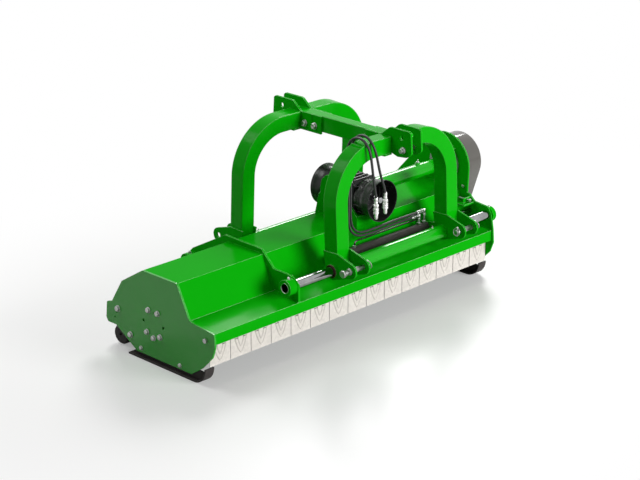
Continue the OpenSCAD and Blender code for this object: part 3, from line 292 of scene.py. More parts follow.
def finish_material(name, colour, rough, grain, cloud, bump, radius, highlight_and_wear, edge, shades, metallic=0.0,
                    dust=0.0, spangle=0.0, mirror=0.5, groove_shade=None):
    """One finish: colour clouds, edges with a painted highlight and partly rubbed paint, dust, uneven gloss
    and a fine relief
    """
    material = bpy.data.materials.get(name) or bpy.data.materials.new(name)
    material.use_nodes = True
    nodes, links = material.node_tree.nodes, material.node_tree.links
    nodes.clear()
    shader = nodes.new("ShaderNodeBsdfPrincipled")
    leave = nodes.new("ShaderNodeOutputMaterial")
    links.new(shader.outputs["BSDF"], leave.inputs["Surface"])
    shader.inputs["Metallic"].default_value = metallic
    shader.inputs["Specular IOR Level"].default_value = mirror
    coords = nodes.new("ShaderNodeTexCoord")
    surface = nodes.new("ShaderNodeGroup")
    surface.node_tree = sprayed_surface_group()
    surface.inputs["Grain Scale"].default_value = grain
    surface.inputs["Cloud Scale"].default_value = cloud
    rounded_edge = nodes.new("ShaderNodeGroup")
    rounded_edge.node_tree = rounded_edge_group()
    rounded_edge.inputs["Radius"].default_value = radius
    rounded_edge.inputs["Highlight And Wear"].default_value = highlight_and_wear
    links.new(coords.outputs["Object"], surface.inputs["Vector"])
    links.new(coords.outputs["Object"], rounded_edge.inputs["Vector"])
    tone = colour_mix(nodes)
    tone.inputs["A"].default_value = scaled(colour, shades[0])
    tone.inputs["B"].default_value = scaled(colour, shades[1])
    if spangle:
        crystals = nodes.new("ShaderNodeTexVoronoi")
        crystals.inputs["Scale"].default_value = spangle
        crystals.inputs["Randomness"].default_value = 0.9
        split = nodes.new("ShaderNodeSeparateColor")
        links.new(coords.outputs["Object"], crystals.inputs["Vector"])
        links.new(crystals.outputs["Color"], split.inputs["Color"])
        links.new(split.outputs["Red"], tone.inputs["Factor"])
    else:
        links.new(surface.outputs["Cloud"], tone.inputs["Factor"])
    dusty = colour_mix(nodes)
    dusty.inputs["B"].default_value = DUST
    amount = calculation(nodes, "MULTIPLY")
    amount.inputs[1].default_value = dust
    links.new(surface.outputs["Dust"], amount.inputs[0])
    links.new(amount.outputs["Value"], dusty.inputs["Factor"])
    links.new(tone.outputs["Result"], dusty.inputs["A"])
    # The edge colour is a painted highlight, partly rubbed paint, laid on the rounded edges by the mask
    rim = colour_mix(nodes)
    rim.inputs["B"].default_value = tuple(edge) + (1.0,)
    links.new(dusty.outputs["Result"], rim.inputs["A"])
    links.new(rounded_edge.outputs["Mask"], rim.inputs["Factor"])
    painted = rim.outputs["Result"]
    # Painted shade: the flap's grooves are darkened by this colour, by a share stored on each point
    if groove_shade:
        line = nodes.new("ShaderNodeAttribute")
        line.attribute_name = "groove_shade"
        sunk = colour_mix(nodes)
        sunk.inputs["B"].default_value = tuple(groove_shade) + (1.0,)
        links.new(painted, sunk.inputs["A"])
        links.new(line.outputs["Fac"], sunk.inputs["Factor"])
        painted = sunk.outputs["Result"]
    links.new(painted, shader.inputs["Base Color"])
    gloss = nodes.new("ShaderNodeMapRange")
    gloss.inputs["To Min"].default_value = rough[0]
    gloss.inputs["To Max"].default_value = rough[1]
    links.new(surface.outputs["Cloud"], gloss.inputs["Value"])
    links.new(gloss.outputs["Result"], shader.inputs["Roughness"])
    relief = nodes.new("ShaderNodeBump")
    relief.inputs["Strength"].default_value = bump
    relief.inputs["Distance"].default_value = 0.001
    links.new(surface.outputs["Grain"], relief.inputs["Height"])
    links.new(rounded_edge.outputs["Normal"], relief.inputs["Normal"])
    links.new(relief.outputs["Normal"], shader.inputs["Normal"])
    return material


def add_finishes():
    shade, size = colours(), sizes()
    gloss = {"rough": (0.12, 0.17), "grain": 260, "cloud": 2.2, "bump": 0.03, "radius": size.edge,
             "shades": (0.96, 1.04)}
    # Each finish's edge colour is the painted highlight laid on its rounded edges, partly rubbed paint; the
    # strength beside it sets how much
    finish_material("green_paint", shade.green, highlight_and_wear=1.0, edge=(0.72, 1.0, 0.70), mirror=0.012, **gloss)
    finish_material("green_plate", shade.green, highlight_and_wear=0.6, edge=(0.30, 0.90, 0.28), mirror=0.5, **gloss)
    finish_material("green_round", shade.green, highlight_and_wear=0.8, edge=(0.50, 1.0, 0.48), mirror=0.3,
                    **dict(gloss, rough=(0.14, 0.18), bump=0.02))
    finish_material("green_tube", shade.green, highlight_and_wear=0.6, edge=(0.30, 0.85, 0.28), mirror=0.05,
                    **dict(gloss, rough=(0.11, 0.16), radius=size.tube_edge))
    finish_material("cover_paint", shade.cover, rough=(0.10, 0.15), grain=240, cloud=5, bump=0.03,
                    radius=size.edge, highlight_and_wear=0.4, edge=(0.3, 0.29, 0.28), shades=(0.94, 1.06), mirror=0.5)
    finish_material("grey_paint", shade.grey, rough=(0.30, 0.45), grain=220, cloud=6, bump=0.12,
                    radius=size.edge, highlight_and_wear=0.5, edge=(0.16, 0.15, 0.15), shades=(0.85, 1.15), dust=0.05,
                    mirror=0.06)
    finish_material("black_casting", shade.casting, rough=(0.24, 0.36), grain=420, cloud=9, bump=0.35,
                    radius=size.edge, highlight_and_wear=0.6, edge=(0.12, 0.12, 0.12), shades=(0.8, 1.3), dust=0.02,
                    mirror=0.15)
    finish_material("black_plastic", shade.plastic, rough=(0.20, 0.30), grain=500, cloud=8, bump=0.08,
                    radius=size.edge, highlight_and_wear=0.3, edge=(0.04, 0.04, 0.045), shades=(0.9, 1.2), dust=0.01,
                    mirror=0.35)
    finish_material("chrome", shade.chrome, metallic=1.0, rough=(0.05, 0.09), grain=90, cloud=14,
                    bump=0.01, radius=0.0015, highlight_and_wear=0.3, edge=(0.8, 0.8, 0.82), shades=(0.7, 1.2))
    finish_material("zinc_steel", shade.zinc, metallic=1.0, rough=(0.25, 0.42), grain=380, cloud=40,
                    bump=0.12, radius=0.0012, highlight_and_wear=0.5, edge=(0.78, 0.78, 0.78), shades=(0.82, 1.08))
    finish_material("bare_steel", shade.steel, metallic=1.0, rough=(0.30, 0.48), grain=320, cloud=22,
                    bump=0.15, radius=0.0012, highlight_and_wear=0.4, edge=(0.6, 0.6, 0.6), shades=(0.75, 1.1))
    finish_material("forged_steel", shade.forged, metallic=0.85, rough=(0.42, 0.62), grain=160, cloud=18,
                    bump=0.5, radius=0.002, highlight_and_wear=0.9, edge=(0.5, 0.5, 0.5), shades=(0.7, 1.3))
    finish_material("black_rubber", shade.rubber, rough=(0.42, 0.58), grain=600, cloud=10, bump=0.2,
                    radius=0.001, highlight_and_wear=0.25, edge=(0.04, 0.04, 0.04), shades=(0.85, 1.3), dust=0.05)
    # The galvanised sheet's dark groove colour is painted shade in the flap's grooves
    finish_material("galvanised", shade.sheet, metallic=0.05, rough=(0.36, 0.52), grain=240, cloud=12,
                    bump=0.06, radius=0.001, highlight_and_wear=0.35, edge=(0.78, 0.76, 0.73), shades=(0.94, 1.05),
                    spangle=70, mirror=0.15, groove_shade=(0.16, 0.145, 0.13))
    finish_material("pipe_steel", shade.pipe, metallic=1.0, rough=(0.20, 0.30), grain=200, cloud=20,
                    bump=0.05, radius=0.001, highlight_and_wear=0.3, edge=(0.4, 0.4, 0.4), shades=(0.85, 1.1))
    finish_material("bronze", shade.bronze, metallic=0.8, rough=(0.32, 0.5), grain=300, cloud=40,
                    bump=0.2, radius=0.001, highlight_and_wear=0.5, edge=(0.16, 0.10, 0.06), shades=(0.8, 1.2))
    finish_material("bright_zinc", shade.bright, metallic=0.7, rough=(0.24, 0.34), grain=300, cloud=30,
                    bump=0.06, radius=0.001, highlight_and_wear=0.5, edge=(0.95, 0.95, 0.94), shades=(0.88, 1.08))


def settle():
    """Object mode with nothing selected"""
    if bpy.context.mode != "OBJECT":
        bpy.ops.object.mode_set(mode="OBJECT")
    bpy.ops.object.select_all(action="DESELECT")


def take(obj):
    settle()
    obj.select_set(True)
    bpy.context.view_layer.objects.active = obj


def edit(obj):
    take(obj)
    bpy.ops.object.mode_set(mode="EDIT")
    bpy.ops.mesh.select_all(action="DESELECT")


def choose_faces(obj, test):
    """Select the faces whose middle and normal pass a test, in edit mode"""
    bpy.ops.mesh.select_mode(type="FACE")
    bpy.ops.mesh.select_all(action="DESELECT")
    mesh = bmesh.from_edit_mesh(obj.data)
    for face in mesh.faces:
        face.select_set(bool(test(face.calc_center_median(), face.normal)))
    bmesh.update_edit_mesh(obj.data)


def choose_edges(obj, test):
    """Select the edges whose two ends pass a test, in edit mode"""
    bpy.ops.mesh.select_mode(type="EDGE")
    bpy.ops.mesh.select_all(action="DESELECT")
    mesh = bmesh.from_edit_mesh(obj.data)
    for line in mesh.edges:
        line.select_set(bool(test(line.verts[0].co, line.verts[1].co)))
    bmesh.update_edit_mesh(obj.data)


def right_way_out(obj):
    edit(obj)
    bpy.ops.mesh.select_all(action="SELECT")
    bpy.ops.mesh.remove_doubles(threshold=0.00001)
    bpy.ops.mesh.normals_make_consistent(inside=False)
    settle()


def give_wall(obj, thickness, offset=-1):
    """Turn a surface into a sheet of a thickness, inwards by default"""
    modifier = obj.modifiers.new("Wall", "SOLIDIFY")
    modifier.thickness = thickness
    modifier.offset = offset
    take(obj)
    bpy.ops.object.modifier_apply(modifier=modifier.name)


def filled_outline(points):
    """One face with its corners at the points"""
    settle()
    bpy.ops.mesh.primitive_circle_add(vertices=len(points), radius=1, fill_type="NGON")
    obj = bpy.context.object
    for vert, where in zip(obj.data.vertices, points):
        vert.co = where
    return obj


def place(obj, base, direction=(0, 0, 1)):
    """Turn a piece made along Z to a direction and move it to its base"""
    obj.rotation_mode = "QUATERNION"
    obj.rotation_quaternion = Vector((0, 0, 1)).rotation_difference(Vector(direction).normalized())
    obj.location = base
    take(obj)
    bpy.ops.object.transform_apply(location=True, rotation=True, scale=True)


def turned(profile, base, direction=(0, 0, 1), steps=32, wall=0.0):
    """A turned part: a circle drawn out ring by ring along (height, radius) pairs"""
    settle()
    bpy.ops.mesh.primitive_circle_add(vertices=steps, radius=profile[0][1],
                                      fill_type="NOTHING" if wall else "NGON", location=(0, 0, 0))
    obj = bpy.context.object
    bpy.ops.object.mode_set(mode="EDIT")
    bpy.ops.mesh.select_all(action="SELECT")
    bpy.ops.transform.translate(value=(0, 0, profile[0][0]))
    for (z0, r0), (z1, r1) in zip(profile, profile[1:]):
        if wall:
            bpy.ops.mesh.extrude_edges_move(TRANSFORM_OT_translate={"value": (0, 0, z1 - z0)})
        else:
            bpy.ops.mesh.extrude_region_move(TRANSFORM_OT_translate={"value": (0, 0, z1 - z0)})
        mesh = bmesh.from_edit_mesh(obj.data)
        for vert in mesh.verts:
            if vert.select:
                vert.co.x *= r1 / r0
                vert.co.y *= r1 / r0
        bmesh.update_edit_mesh(obj.data)
    right_way_out(obj)
    if wall:
        give_wall(obj, wall)
    place(obj, base, direction)
    return obj


def copy_to(obj, shift):
    """A copy with its own mesh, moved by a shift"""
    twin = obj.copy()
    twin.data = obj.data.copy()
    twin.data.transform(Matrix.Translation(shift))
    bpy.context.scene.collection.objects.link(twin)
    return twin


def joined(parts):
    settle()
    for part in parts:
        part.select_set(True)
    bpy.context.view_layer.objects.active = parts[0]
    if len(parts) > 1:
        bpy.ops.object.join()
    return bpy.context.view_layer.objects.active


def finished(obj, name, finish, body, replaces=(), angle=35):
    """Name a piece, give it its finish and let it ride on its body"""
    obj.name = name
    obj.data.name = name
    obj.data.materials.clear()
    obj.data.materials.append(bpy.data.materials[finish])
    take(obj)
    if obj.type == "MESH":
        bpy.ops.object.shade_smooth_by_angle(angle=math.radians(angle))
    settle()
    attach(obj, body)
    if replaces:
        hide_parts(*replaces)
    return obj


def block(low, high, bevel, segments):
    """A machined block between two corners, with its edges rounded"""
    settle()
    middle = (Vector(low) + Vector(high)) / 2
    bpy.ops.mesh.primitive_cube_add(size=1, location=middle)
    obj = bpy.context.object
    obj.scale = Vector(high) - Vector(low)
    bpy.ops.object.transform_apply(location=True, rotation=True, scale=True)
    bpy.ops.object.mode_set(mode="EDIT")
    bpy.ops.mesh.select_all(action="SELECT")
    bpy.ops.mesh.bevel(offset=bevel, segments=segments, affect="EDGES")
    settle()
    return obj


def at(x, y, z):
    """A place measured from the left end plate, the headstock's middle and the ground"""
    return Vector((x - MIDDLE, y, z))


def hex_bolt(base, direction, r, grip):
    """Washer, chamfered head and, a grip behind them, the nut and the thread's end"""
    out = Vector(direction).normalized()
    parts = [
        turned([(0, 2.0 * r), (0.28 * r, 2.0 * r), (0.35 * r, 1.93 * r)], base, out, 24),
        turned([(0.3 * r, 1.70 * r), (0.36 * r, 1.75 * r), (1.36 * r, 1.75 * r), (1.6 * r, 1.48 * r)],
               base, out, 6),
        turned([(1.5 * r, 1.2 * r), (1.62 * r, 1.2 * r), (1.66 * r, 1.1 * r)], base, out, 20),
    ]
    back = Vector(base) - out * grip
    parts.append(turned([(0, 1.75 * r), (1.1 * r, 1.75 * r), (1.3 * r, 1.5 * r)], back, -out, 6))
    parts.append(turned([(1.2 * r, r), (1.35 * r, r), (1.4 * r, 0.85 * r)], back, -out, 16))
    return joined(parts)


def round_curve(name, radius, resolution):
    """An empty round curve with closed ends"""
    curve = bpy.data.curves.new(name, "CURVE")
    curve.dimensions = "3D"
    curve.bevel_depth = radius
    curve.bevel_resolution = resolution
    curve.use_fill_caps = True
    return curve


def tube_mesh(name, points, radius, resolution, ripple=(1.0, 1.0)):
    """A tube along points, whose radius goes to and fro between two shares"""
    curve = round_curve(name, radius, resolution)
    spline = curve.splines.new("POLY")
    spline.points.add(len(points) - 1)
    for i, (point, where) in enumerate(zip(spline.points, points)):
        point.co = tuple(where) + (1.0,)
        point.radius = ripple[i % 2]
    obj = bpy.data.objects.new(name, curve)
    bpy.context.scene.collection.objects.link(obj)
    take(obj)
    bpy.ops.object.convert(target="MESH")
    return bpy.context.object


def bead(points, radius):
    """A weld bead along points: a thin tube whose radius ripples"""
    dense = []
    for start, end in zip(points, points[1:]):
        steps = max(1, int((end - start).length / (radius * 0.9)))
        dense += [start.lerp(end, k / steps) for k in range(steps)]
    dense.append(points[-1])
    return tube_mesh("bead", dense, radius, 1, (0.86, 1.12))


def ring_points(x, y, z, r, a0, a1, steps=28):
    """Points of an arc round an axis along X"""
    return [at(x, y + r * math.cos(math.radians(a0 + (a1 - a0) * i / steps)),
               z + r * math.sin(math.radians(a0 + (a1 - a0) * i / steps))) for i in range(steps + 1)]


def tell(operator, text):
    operator.report({"INFO"}, text)
    return {"FINISHED"}


class MOWER_OT_camera(bpy.types.Operator):
    """Add the camera at the photograph's place"""
    bl_idname = "mower.camera"
    bl_label = "Camera"

    def execute(self, context):
        data = bpy.data.cameras.new("Camera")
        data.sensor_width = 36.0
        data.lens = 105.4
        data.clip_end = 60.0
        camera = bpy.data.objects.new("Camera", data)
        camera.location = (-6.8186, -6.7997, 3.9281)
        camera.rotation_euler = (math.radians(69.814), 0.0, math.radians(-45.259))
        context.scene.collection.objects.link(camera)
        context.scene.camera = camera
        return tell(self, "Camera placed")


class MOWER_OT_hoses(bpy.types.Operator):
    """Lay the two hydraulic hoses with their crimped ends and quick couplers"""
    bl_idname = "mower.hoses"
    bl_label = "Hoses and couplers"

    def execute(self, context):
        for name, route in (("hose_left", HOSE_LEFT), ("hose_right", HOSE_RIGHT)):
            curve = round_curve(name + "_line", sizes().hose / 2, 4)
            spline = curve.splines.new("BEZIER")
            spline.resolution_u = 6
            spline.bezier_points.add(len(route) - 1)
            for point, where in zip(spline.bezier_points, route):
                point.co = where
                point.handle_left_type = "AUTO"
                point.handle_right_type = "AUTO"
            hose = bpy.data.objects.new(name + "_line", curve)
            context.scene.collection.objects.link(hose)
            finished(hose, name + "_line", "black_rubber", "headstock", [name])
            start, end = Vector(route[0]), Vector(route[-1])
            crimp = turned([(0, 0.0095), (0.002, 0.0108), (0.014, 0.0108), (0.015, 0.0099),
                            (0.018, 0.0099), (0.019, 0.0108), (0.030, 0.0108), (0.031, 0.0099),
                            (0.034, 0.0099), (0.035, 0.0106), (0.040, 0.0096)],
                           start + Vector((0.004, 0, 0)), (-1, 0, 0), 24)
            collar = turned([(0, 0.0110), (0.001, 0.0125), (0.011, 0.0125), (0.012, 0.0110)],
                            start + Vector((0.015, 0, 0)), (-1, 0, 0), 6)
            ends = finished(joined([crimp, collar]), name + "_crimp", "zinc_steel", "headstock")
            body = turned([(0.0, 0.0084), (0.004, 0.0094), (0.016, 0.0094), (0.018, 0.0086),
                           (0.021, 0.0086), (0.023, 0.0094), (0.034, 0.0094), (0.036, 0.0086),
                           (0.038, 0.0086)], end + Vector((0, 0, 0.012)), (0, 0, -1), 24)
            nut = turned([(0.026, 0.0125), (0.028, 0.0139), (0.040, 0.0139), (0.042, 0.0125)], end,
                         (0, 0, -1), 6)
            sleeve = turned([(0.042, 0.0105), (0.046, 0.0105), (0.048, 0.0142), (0.052, 0.0148),
                             (0.054, 0.0134), (0.057, 0.0134), (0.059, 0.0148), (0.062, 0.0148),
                             (0.064, 0.0134), (0.067, 0.0134), (0.069, 0.0148), (0.076, 0.0148),
                             (0.078, 0.0122), (0.083, 0.0122), (0.084, 0.0106), (0.100, 0.0106),
                             (0.104, 0.0094), (0.108, 0.0072)], end, (0, 0, -1), 28)
            coupler = finished(joined([body, nut, sleeve]), name + "_coupler", "bright_zinc",
                               "headstock")
            if name == "hose_left":
                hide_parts("quick_couplers")
        return tell(self, "Hoses laid")


def pressed_depth(u, v):
    """Depth of the lines pressed into a flap, at u across from its middle and v down from its top"""
    deepest = 0.0
    for half, bottom in FLAP_LINES:
        if v < LINE_TOP or v > bottom + 0.03:
            continue
        reach = max(0.0, (bottom - v) / (bottom - LINE_TOP))
        line = half * reach ** 0.62
        deepest = max(deepest, math.exp(-((abs(u) - line) * LINE_SPAN / LINE_WIDTH) ** 2))
    return deepest


class MOWER_OT_flaps(bpy.types.Operator):
    """Press one front flap, roll its eyes round the rod, mark each slot as a dark patch of painted shadow
    and hang its copies
    """
    bl_idname = "mower.flaps"
    bl_label = "Front flaps"

    def execute(self, context):
        pitch = (DECK - 0.020) / FLAP_COUNT
        width = pitch - 0.0045
        top, low, front = 0.249, 0.104, -0.385
        eye_from, eye_to, lip_from = 0.026, 0.058, 0.93
        steps = sizes().flap_steps
        settle()
        bpy.ops.mesh.primitive_grid_add(x_subdivisions=steps, y_subdivisions=steps, size=1)
        flap = context.object
        flap.scale = (width, top - low, 1)
        flap.rotation_euler = (math.radians(90), 0, 0)
        flap.location = (0, front + 0.0008, (top + low) / 2)
        bpy.ops.object.transform_apply(location=True, rotation=True, scale=True)
        # Painted shade in the flap's grooves: each point stores how much of the dark groove colour it gets
        groove_shade = flap.data.attributes.new("groove_shade", "FLOAT", "POINT")
        for vert in flap.data.vertices:
            u = vert.co.x / width
            v = (top - vert.co.z) / (top - low)
            depth = pressed_depth(u, v)
            groove_shade.data[vert.index].value = 0.42 * depth
            vert.co.y += sizes().groove * depth
            if v > lip_from:
                vert.co.y -= 0.0015 * ((v - lip_from) / (1 - lip_from)) ** 2
        edit(flap)
        choose_edges(flap, lambda a, b: (min(a.z, b.z) > top - 0.0005
                                         and eye_from < abs(a.x + b.x) / 2 < eye_to))
        bpy.ops.mesh.spin(steps=10, angle=math.radians(-265), center=(0, -0.373, top), axis=(1, 0, 0))
        settle()
        give_wall(flap, 0.0026, 0)
        right_way_out(flap)
        # Each slot is not cut but painted: a thin black block in the sheet stands in for the shadow seen
        # through it
        slot_x, slot_half, sheet_half = 0.027, 0.011, 0.0008
        slot_shadows = joined([block((side * slot_x - slot_half, front - sheet_half, 0.2035),
                              (side * slot_x + slot_half, front + sheet_half, 0.2073), 0.0004, 1)
                        for side in (-1, 1)])
        for number in range(1, FLAP_COUNT + 1):
            middle = at(0.010 + pitch * (number - 0.5), 0, 0).x
            body = "flap_%d" % number
            name = "front_flap_%d" % number
            finished(copy_to(flap, (middle, 0, 0)), name + "_sheet", "galvanised", body, [name], 40)
            finished(copy_to(slot_shadows, (middle, 0, 0)), name + "_slots", "black_rubber", body)
        bpy.data.objects.remove(flap)
        bpy.data.objects.remove(slot_shadows)
        return tell(self, "Flaps hung")


class MOWER_OT_bolts(bpy.types.Operator):
    """Set the zinc bolts, nuts and lock screws"""
    bl_idname = "mower.bolts"
    bl_label = "Bolts"

    def execute(self, context):
        parts = []
        plate_pattern = []
        bolt_circle = 0.077
        for angle in (62, 118, 228, 270, 312):
            y = ROTOR[0] + bolt_circle * math.cos(math.radians(angle))
            z = ROTOR[1] + bolt_circle * math.sin(math.radians(angle))
            plate_pattern.append((y, z, 0.008, 0.024))
        plate_pattern += [(0.132, 0.056, 0.006, 0.018), (-0.171, 0.051, 0.006, 0.018),
                          (0.311, 0.225, 0.0087, 0.018), (0.214, 0.107, 0.0087, 0.018)]
        for y, z, r, grip in plate_pattern:
            parts.append(hex_bolt(at(0, y, z), (-1, 0, 0), r, grip))
            parts.append(hex_bolt(at(DECK, y, z), (1, 0, 0), r, grip))
        parts.append(hex_bolt(at(DECK, -0.206, 0.509), (1, 0, 0), 0.006, 0.010))
        rod_nut = turned([(0, 0.0165), (0.002, 0.018), (0.012, 0.018), (0.014, 0.0155)],
                         at(DECK, *CYLINDER), (1, 0, 0), 6)
        rod_end = turned([(0.012, 0.010), (0.017, 0.010), (0.018, 0.0085)], at(DECK, *CYLINDER),
                         (1, 0, 0), 18)
        parts += [rod_nut, rod_end]
        tension = at(2.110, -0.280, 0.448)
        parts.append(turned([(0, 0.0108), (0.001, 0.012), (0.0075, 0.012), (0.009, 0.0102)], tension,
                            (0, -1, 0), 6))
        parts.append(turned([(-0.001, 0.0068), (0.076, 0.0068), (0.078, 0.0056)], tension, (0, 1, 0),
                            20))
        parts.append(turned([(0.026, 0.0102), (0.027, 0.0115), (0.035, 0.0115), (0.036, 0.0102)],
                            tension, (0, 1, 0), 6))
        for x in (0.5675, 2.165):
            for y, z in BARS:
                parts.append(turned([(-0.0015, 0.0085), (0.0, 0.0085), (0.0005, 0.008), (0.006, 0.008),
                                     (0.007, 0.0068)], at(x, y, z + 0.044), (0, 0, 1), 6))
                parts.append(turned([(0.006, 0.005), (0.010, 0.005), (0.011, 0.0042)],
                                    at(x, y, z + 0.044), (0, 0, 1), 14))
        finished(joined(parts), "plate_bolts", "zinc_steel", "deck", ["deck_bolts"], 30)
        parts = [hex_bolt(at(1.335, y, z), (-1, 0, 0), 0.010, 0.090)
                 for y, z in ((0.272, 0.958), (0.195, 0.957))]
        finished(joined(parts), "beam_bolts", "zinc_steel", "headstock", ["headstock_bolts"], 30)
        return tell(self, "Bolts set")


class MOWER_OT_welds(bpy.types.Operator):
    """Lay the weld beads on the frame and the headstock"""
    bl_idname = "mower.welds"
    bl_label = "Welds"

    def execute(self, context):
        r = sizes().weld
        head = []
        for leg in (0.945, 1.815):
            for side, shift in ((-0.055, -0.0015), (-0.045, 0.0015), (0.045, -0.0015), (0.055, 0.0015)):
                for y, z in BARS:
                    head.append(bead(ring_points(leg + side + shift, y, z, 0.0385, -75, 255), r))
        for x in (1.335, 1.425):
            for y in (-0.375, 0.215):
                head.append(bead([at(x, y, 0.9285), at(x, y, 1.0165)], r * 0.9))
        finished(joined(head), "headstock_welds", "green_paint", "headstock", angle=60)
        deck = []
        ridge = [(-0.424, 0.294), (-0.250, 0.317), (-0.161, 0.493), (0.104, 0.493), (0.273, 0.390),
                 (0.345, 0.277)]
        for x in (0.5935, 0.6085):
            deck.append(bead([at(x, y, z + 0.001) for y, z in ridge], r))
        for x in (0.5945, 2.1505):
            for y, z in BARS:
                deck.append(bead(ring_points(x, y, z, 0.0445, 0, 360), r))
        for x in (1.2725, 1.4875):
            deck.append(bead([at(x, -0.188, 0.439), at(x, -0.161, 0.494), at(x, 0.103, 0.494)], r))
        deck.append(bead([at(1.276, -0.191, 0.436), at(1.484, -0.191, 0.436)], r))
        deck.append(bead([at(1.276, 0.105, 0.494), at(1.484, 0.105, 0.494)], r))
        inner = [(-0.418, 0.2935), (-0.250, 0.3185), (-0.161, 0.4945), (0.104, 0.4945), (0.273, 0.3915),
                 (0.343, 0.281)]
        deck.append(bead([at(2.1385, y, z) for y, z in inner], r))
        finished(joined(deck), "deck_welds", "green_paint", "deck", angle=60)
        return tell(self, "Welds laid")


class MOWER_OT_gearbox(bpy.types.Operator):
    """Cast the gearbox with ribs, bearing caps, cap screws and breather, and fit its two guards"""
    bl_idname = "mower.gearbox"
    bl_label = "Gearbox and guards"

    def execute(self, context):
        axis_y, axis_z = SHAFT
        screw_circle = 0.046
        parts = [block(at(1.285, -0.147, 0.532), at(1.475, 0.023, 0.712), 0.014, 4)]
        for i in range(5):
            y = axis_y - 0.073 + i * 0.034
            parts.append(block(at(1.305, y, 0.705), at(1.455, y + 0.010, 0.721), 0.003, 2))
        for side, face in GEARBOX_FACES:
            parts.append(turned([(-0.004, 0.0840), (0.0, 0.0840), (0.0, 0.0590), (0.010, 0.0580),
                                 (0.014, 0.0540), (0.014, 0.0300), (0.020, 0.0285), (0.022, 0.0260)],
                                at(HEAD, face, axis_z), (0, side, 0), 48))
            for k in range(6):
                a = math.radians(30 + 60 * k)
                spot = at(HEAD + screw_circle * math.cos(a), face + side * 0.0135,
                          axis_z + screw_circle * math.sin(a))
                parts.append(turned([(0, 0.0065), (0.0045, 0.0065), (0.0052, 0.0056)], spot,
                                    (0, side, 0), 6))
        for dx in (-0.078, 0.078):
            for dz in (-0.070, 0.070):
                parts.append(turned([(-0.002, 0.0105), (0.003, 0.0105), (0.0035, 0.0085),
                                     (0.0085, 0.0085), (0.0095, 0.0070)],
                                    at(HEAD + dx, -0.147, axis_z + dz), (0, -1, 0), 6))
        parts.append(turned([(-0.01, 0.015), (0.002, 0.015), (0.003, 0.0115), (0.012, 0.0115),
                             (0.013, 0.009), (0.016, 0.008)], at(1.450, 0.004, 0.712), (0, 0, 1), 6))
        finished(joined(parts), "gearbox", "black_casting", "deck", ["gearbox_case"], 32)
        shells = []
        for side, face in GEARBOX_FACES:
            shells.append(turned([(0.002, 0.061), (0.002, 0.0925), (0.006, 0.0955), (0.022, 0.0970),
                                  (0.024, 0.0995), (0.030, 0.1000), (0.032, 0.0978), (0.040, 0.0988),
                                  (0.042, 0.1012), (0.048, 0.1020), (0.050, 0.0998), (0.058, 0.1010),
                                  (0.066, 0.1060), (0.082, 0.1100), (0.110, 0.1140), (0.124, 0.1155),
                                  (0.129, 0.1175), (0.133, 0.1175)], at(HEAD, face, axis_z),
                                 (0, side, 0), 64, wall=0.0035))
            for k in range(12):
                a = math.radians(15 + 30 * k)
                rib = block((-0.0016, 0.096, 0.004), (0.0016, 0.1035, 0.062), 0.0008, 1)
                rib.rotation_euler = (0, 0, a)
                take(rib)
                bpy.ops.object.transform_apply(location=True, rotation=True, scale=True)
                place(rib, at(HEAD, face, axis_z), (0, side, 0))
                shells.append(rib)
        finished(joined(shells), "guards", "black_plastic", "deck", ["shaft_guards"], 40)
        return tell(self, "Gearbox built")


def spline_radius(angle):
    """Outline of the six-toothed shaft end: its radius at an angle in degrees"""
    across = abs((angle + 30) % 60 - 30)
    return 0.01745 if across < 15 else 0.0148


def spline_corner(angle, most):
    """Corner of the shaft end's outline at an angle in degrees, no further out than a radius"""
    r = min(spline_radius(angle), most)
    return r * math.cos(math.radians(angle)), r * math.sin(math.radians(angle))


def splined(base, direction):
    """One splined end with its locking groove, cut from a circle drawn out ring by ring"""
    angles = [60 * tooth + turn for tooth in range(6) for turn in (-30, -15.6, -14.4, 0, 14.4, 15.6)]
    rings = [(0.0, 0.0150), (0.002, 0.0175), (0.0340, 0.0175), (0.0350, 0.0147), (0.0410, 0.0147),
             (0.0420, 0.0175), (0.0740, 0.0175), (0.0780, 0.0150)]
    obj = filled_outline([spline_corner(angle, rings[0][1]) + (0,) for angle in angles])
    bpy.ops.object.mode_set(mode="EDIT")
    bpy.ops.mesh.select_all(action="SELECT")
    for (z0, _), (z1, most) in zip(rings, rings[1:]):
        bpy.ops.mesh.extrude_region_move(TRANSFORM_OT_translate={"value": (0, 0, z1 - z0)})
        mesh = bmesh.from_edit_mesh(obj.data)
        for vert in mesh.verts:
            if vert.select:
                angle = math.degrees(math.atan2(vert.co.y, vert.co.x))
                vert.co.x, vert.co.y = spline_corner(angle, most)
        bmesh.update_edit_mesh(obj.data)
    right_way_out(obj)
    place(obj, base, direction)
    return obj


class MOWER_OT_input_shaft(bpy.types.Operator):
    """Mill the input shaft with a splined end on both sides and its bevel pinion"""
    bl_idname = "mower.input_shaft"
    bl_label = "Input shaft"

    def execute(self, context):
        parts = [splined(at(HEAD, -0.267, SHAFT[1]), (0, 1, 0)),
                 splined(at(HEAD, 0.143, SHAFT[1]), (0, -1, 0))]
        parts.append(turned([(-0.001, 0.0165), (0.0015, 0.0195), (0.003, 0.0200), (0.255, 0.0200),
                             (0.2565, 0.0195), (0.259, 0.0165)], at(HEAD, -0.191, SHAFT[1]), (0, 1, 0),
                            40))
        parts.append(turned([(-0.002, 0.0300), (0.0, 0.0620), (0.020, 0.0540), (0.0205, 0.0300)],
                            at(HEAD, -0.105, SHAFT[1]), (0, 1, 0), 48))
        finished(joined(parts), "splined_shaft", "bare_steel", "input_shaft", ["input_shaft"], 25)
        return tell(self, "Input shaft milled")


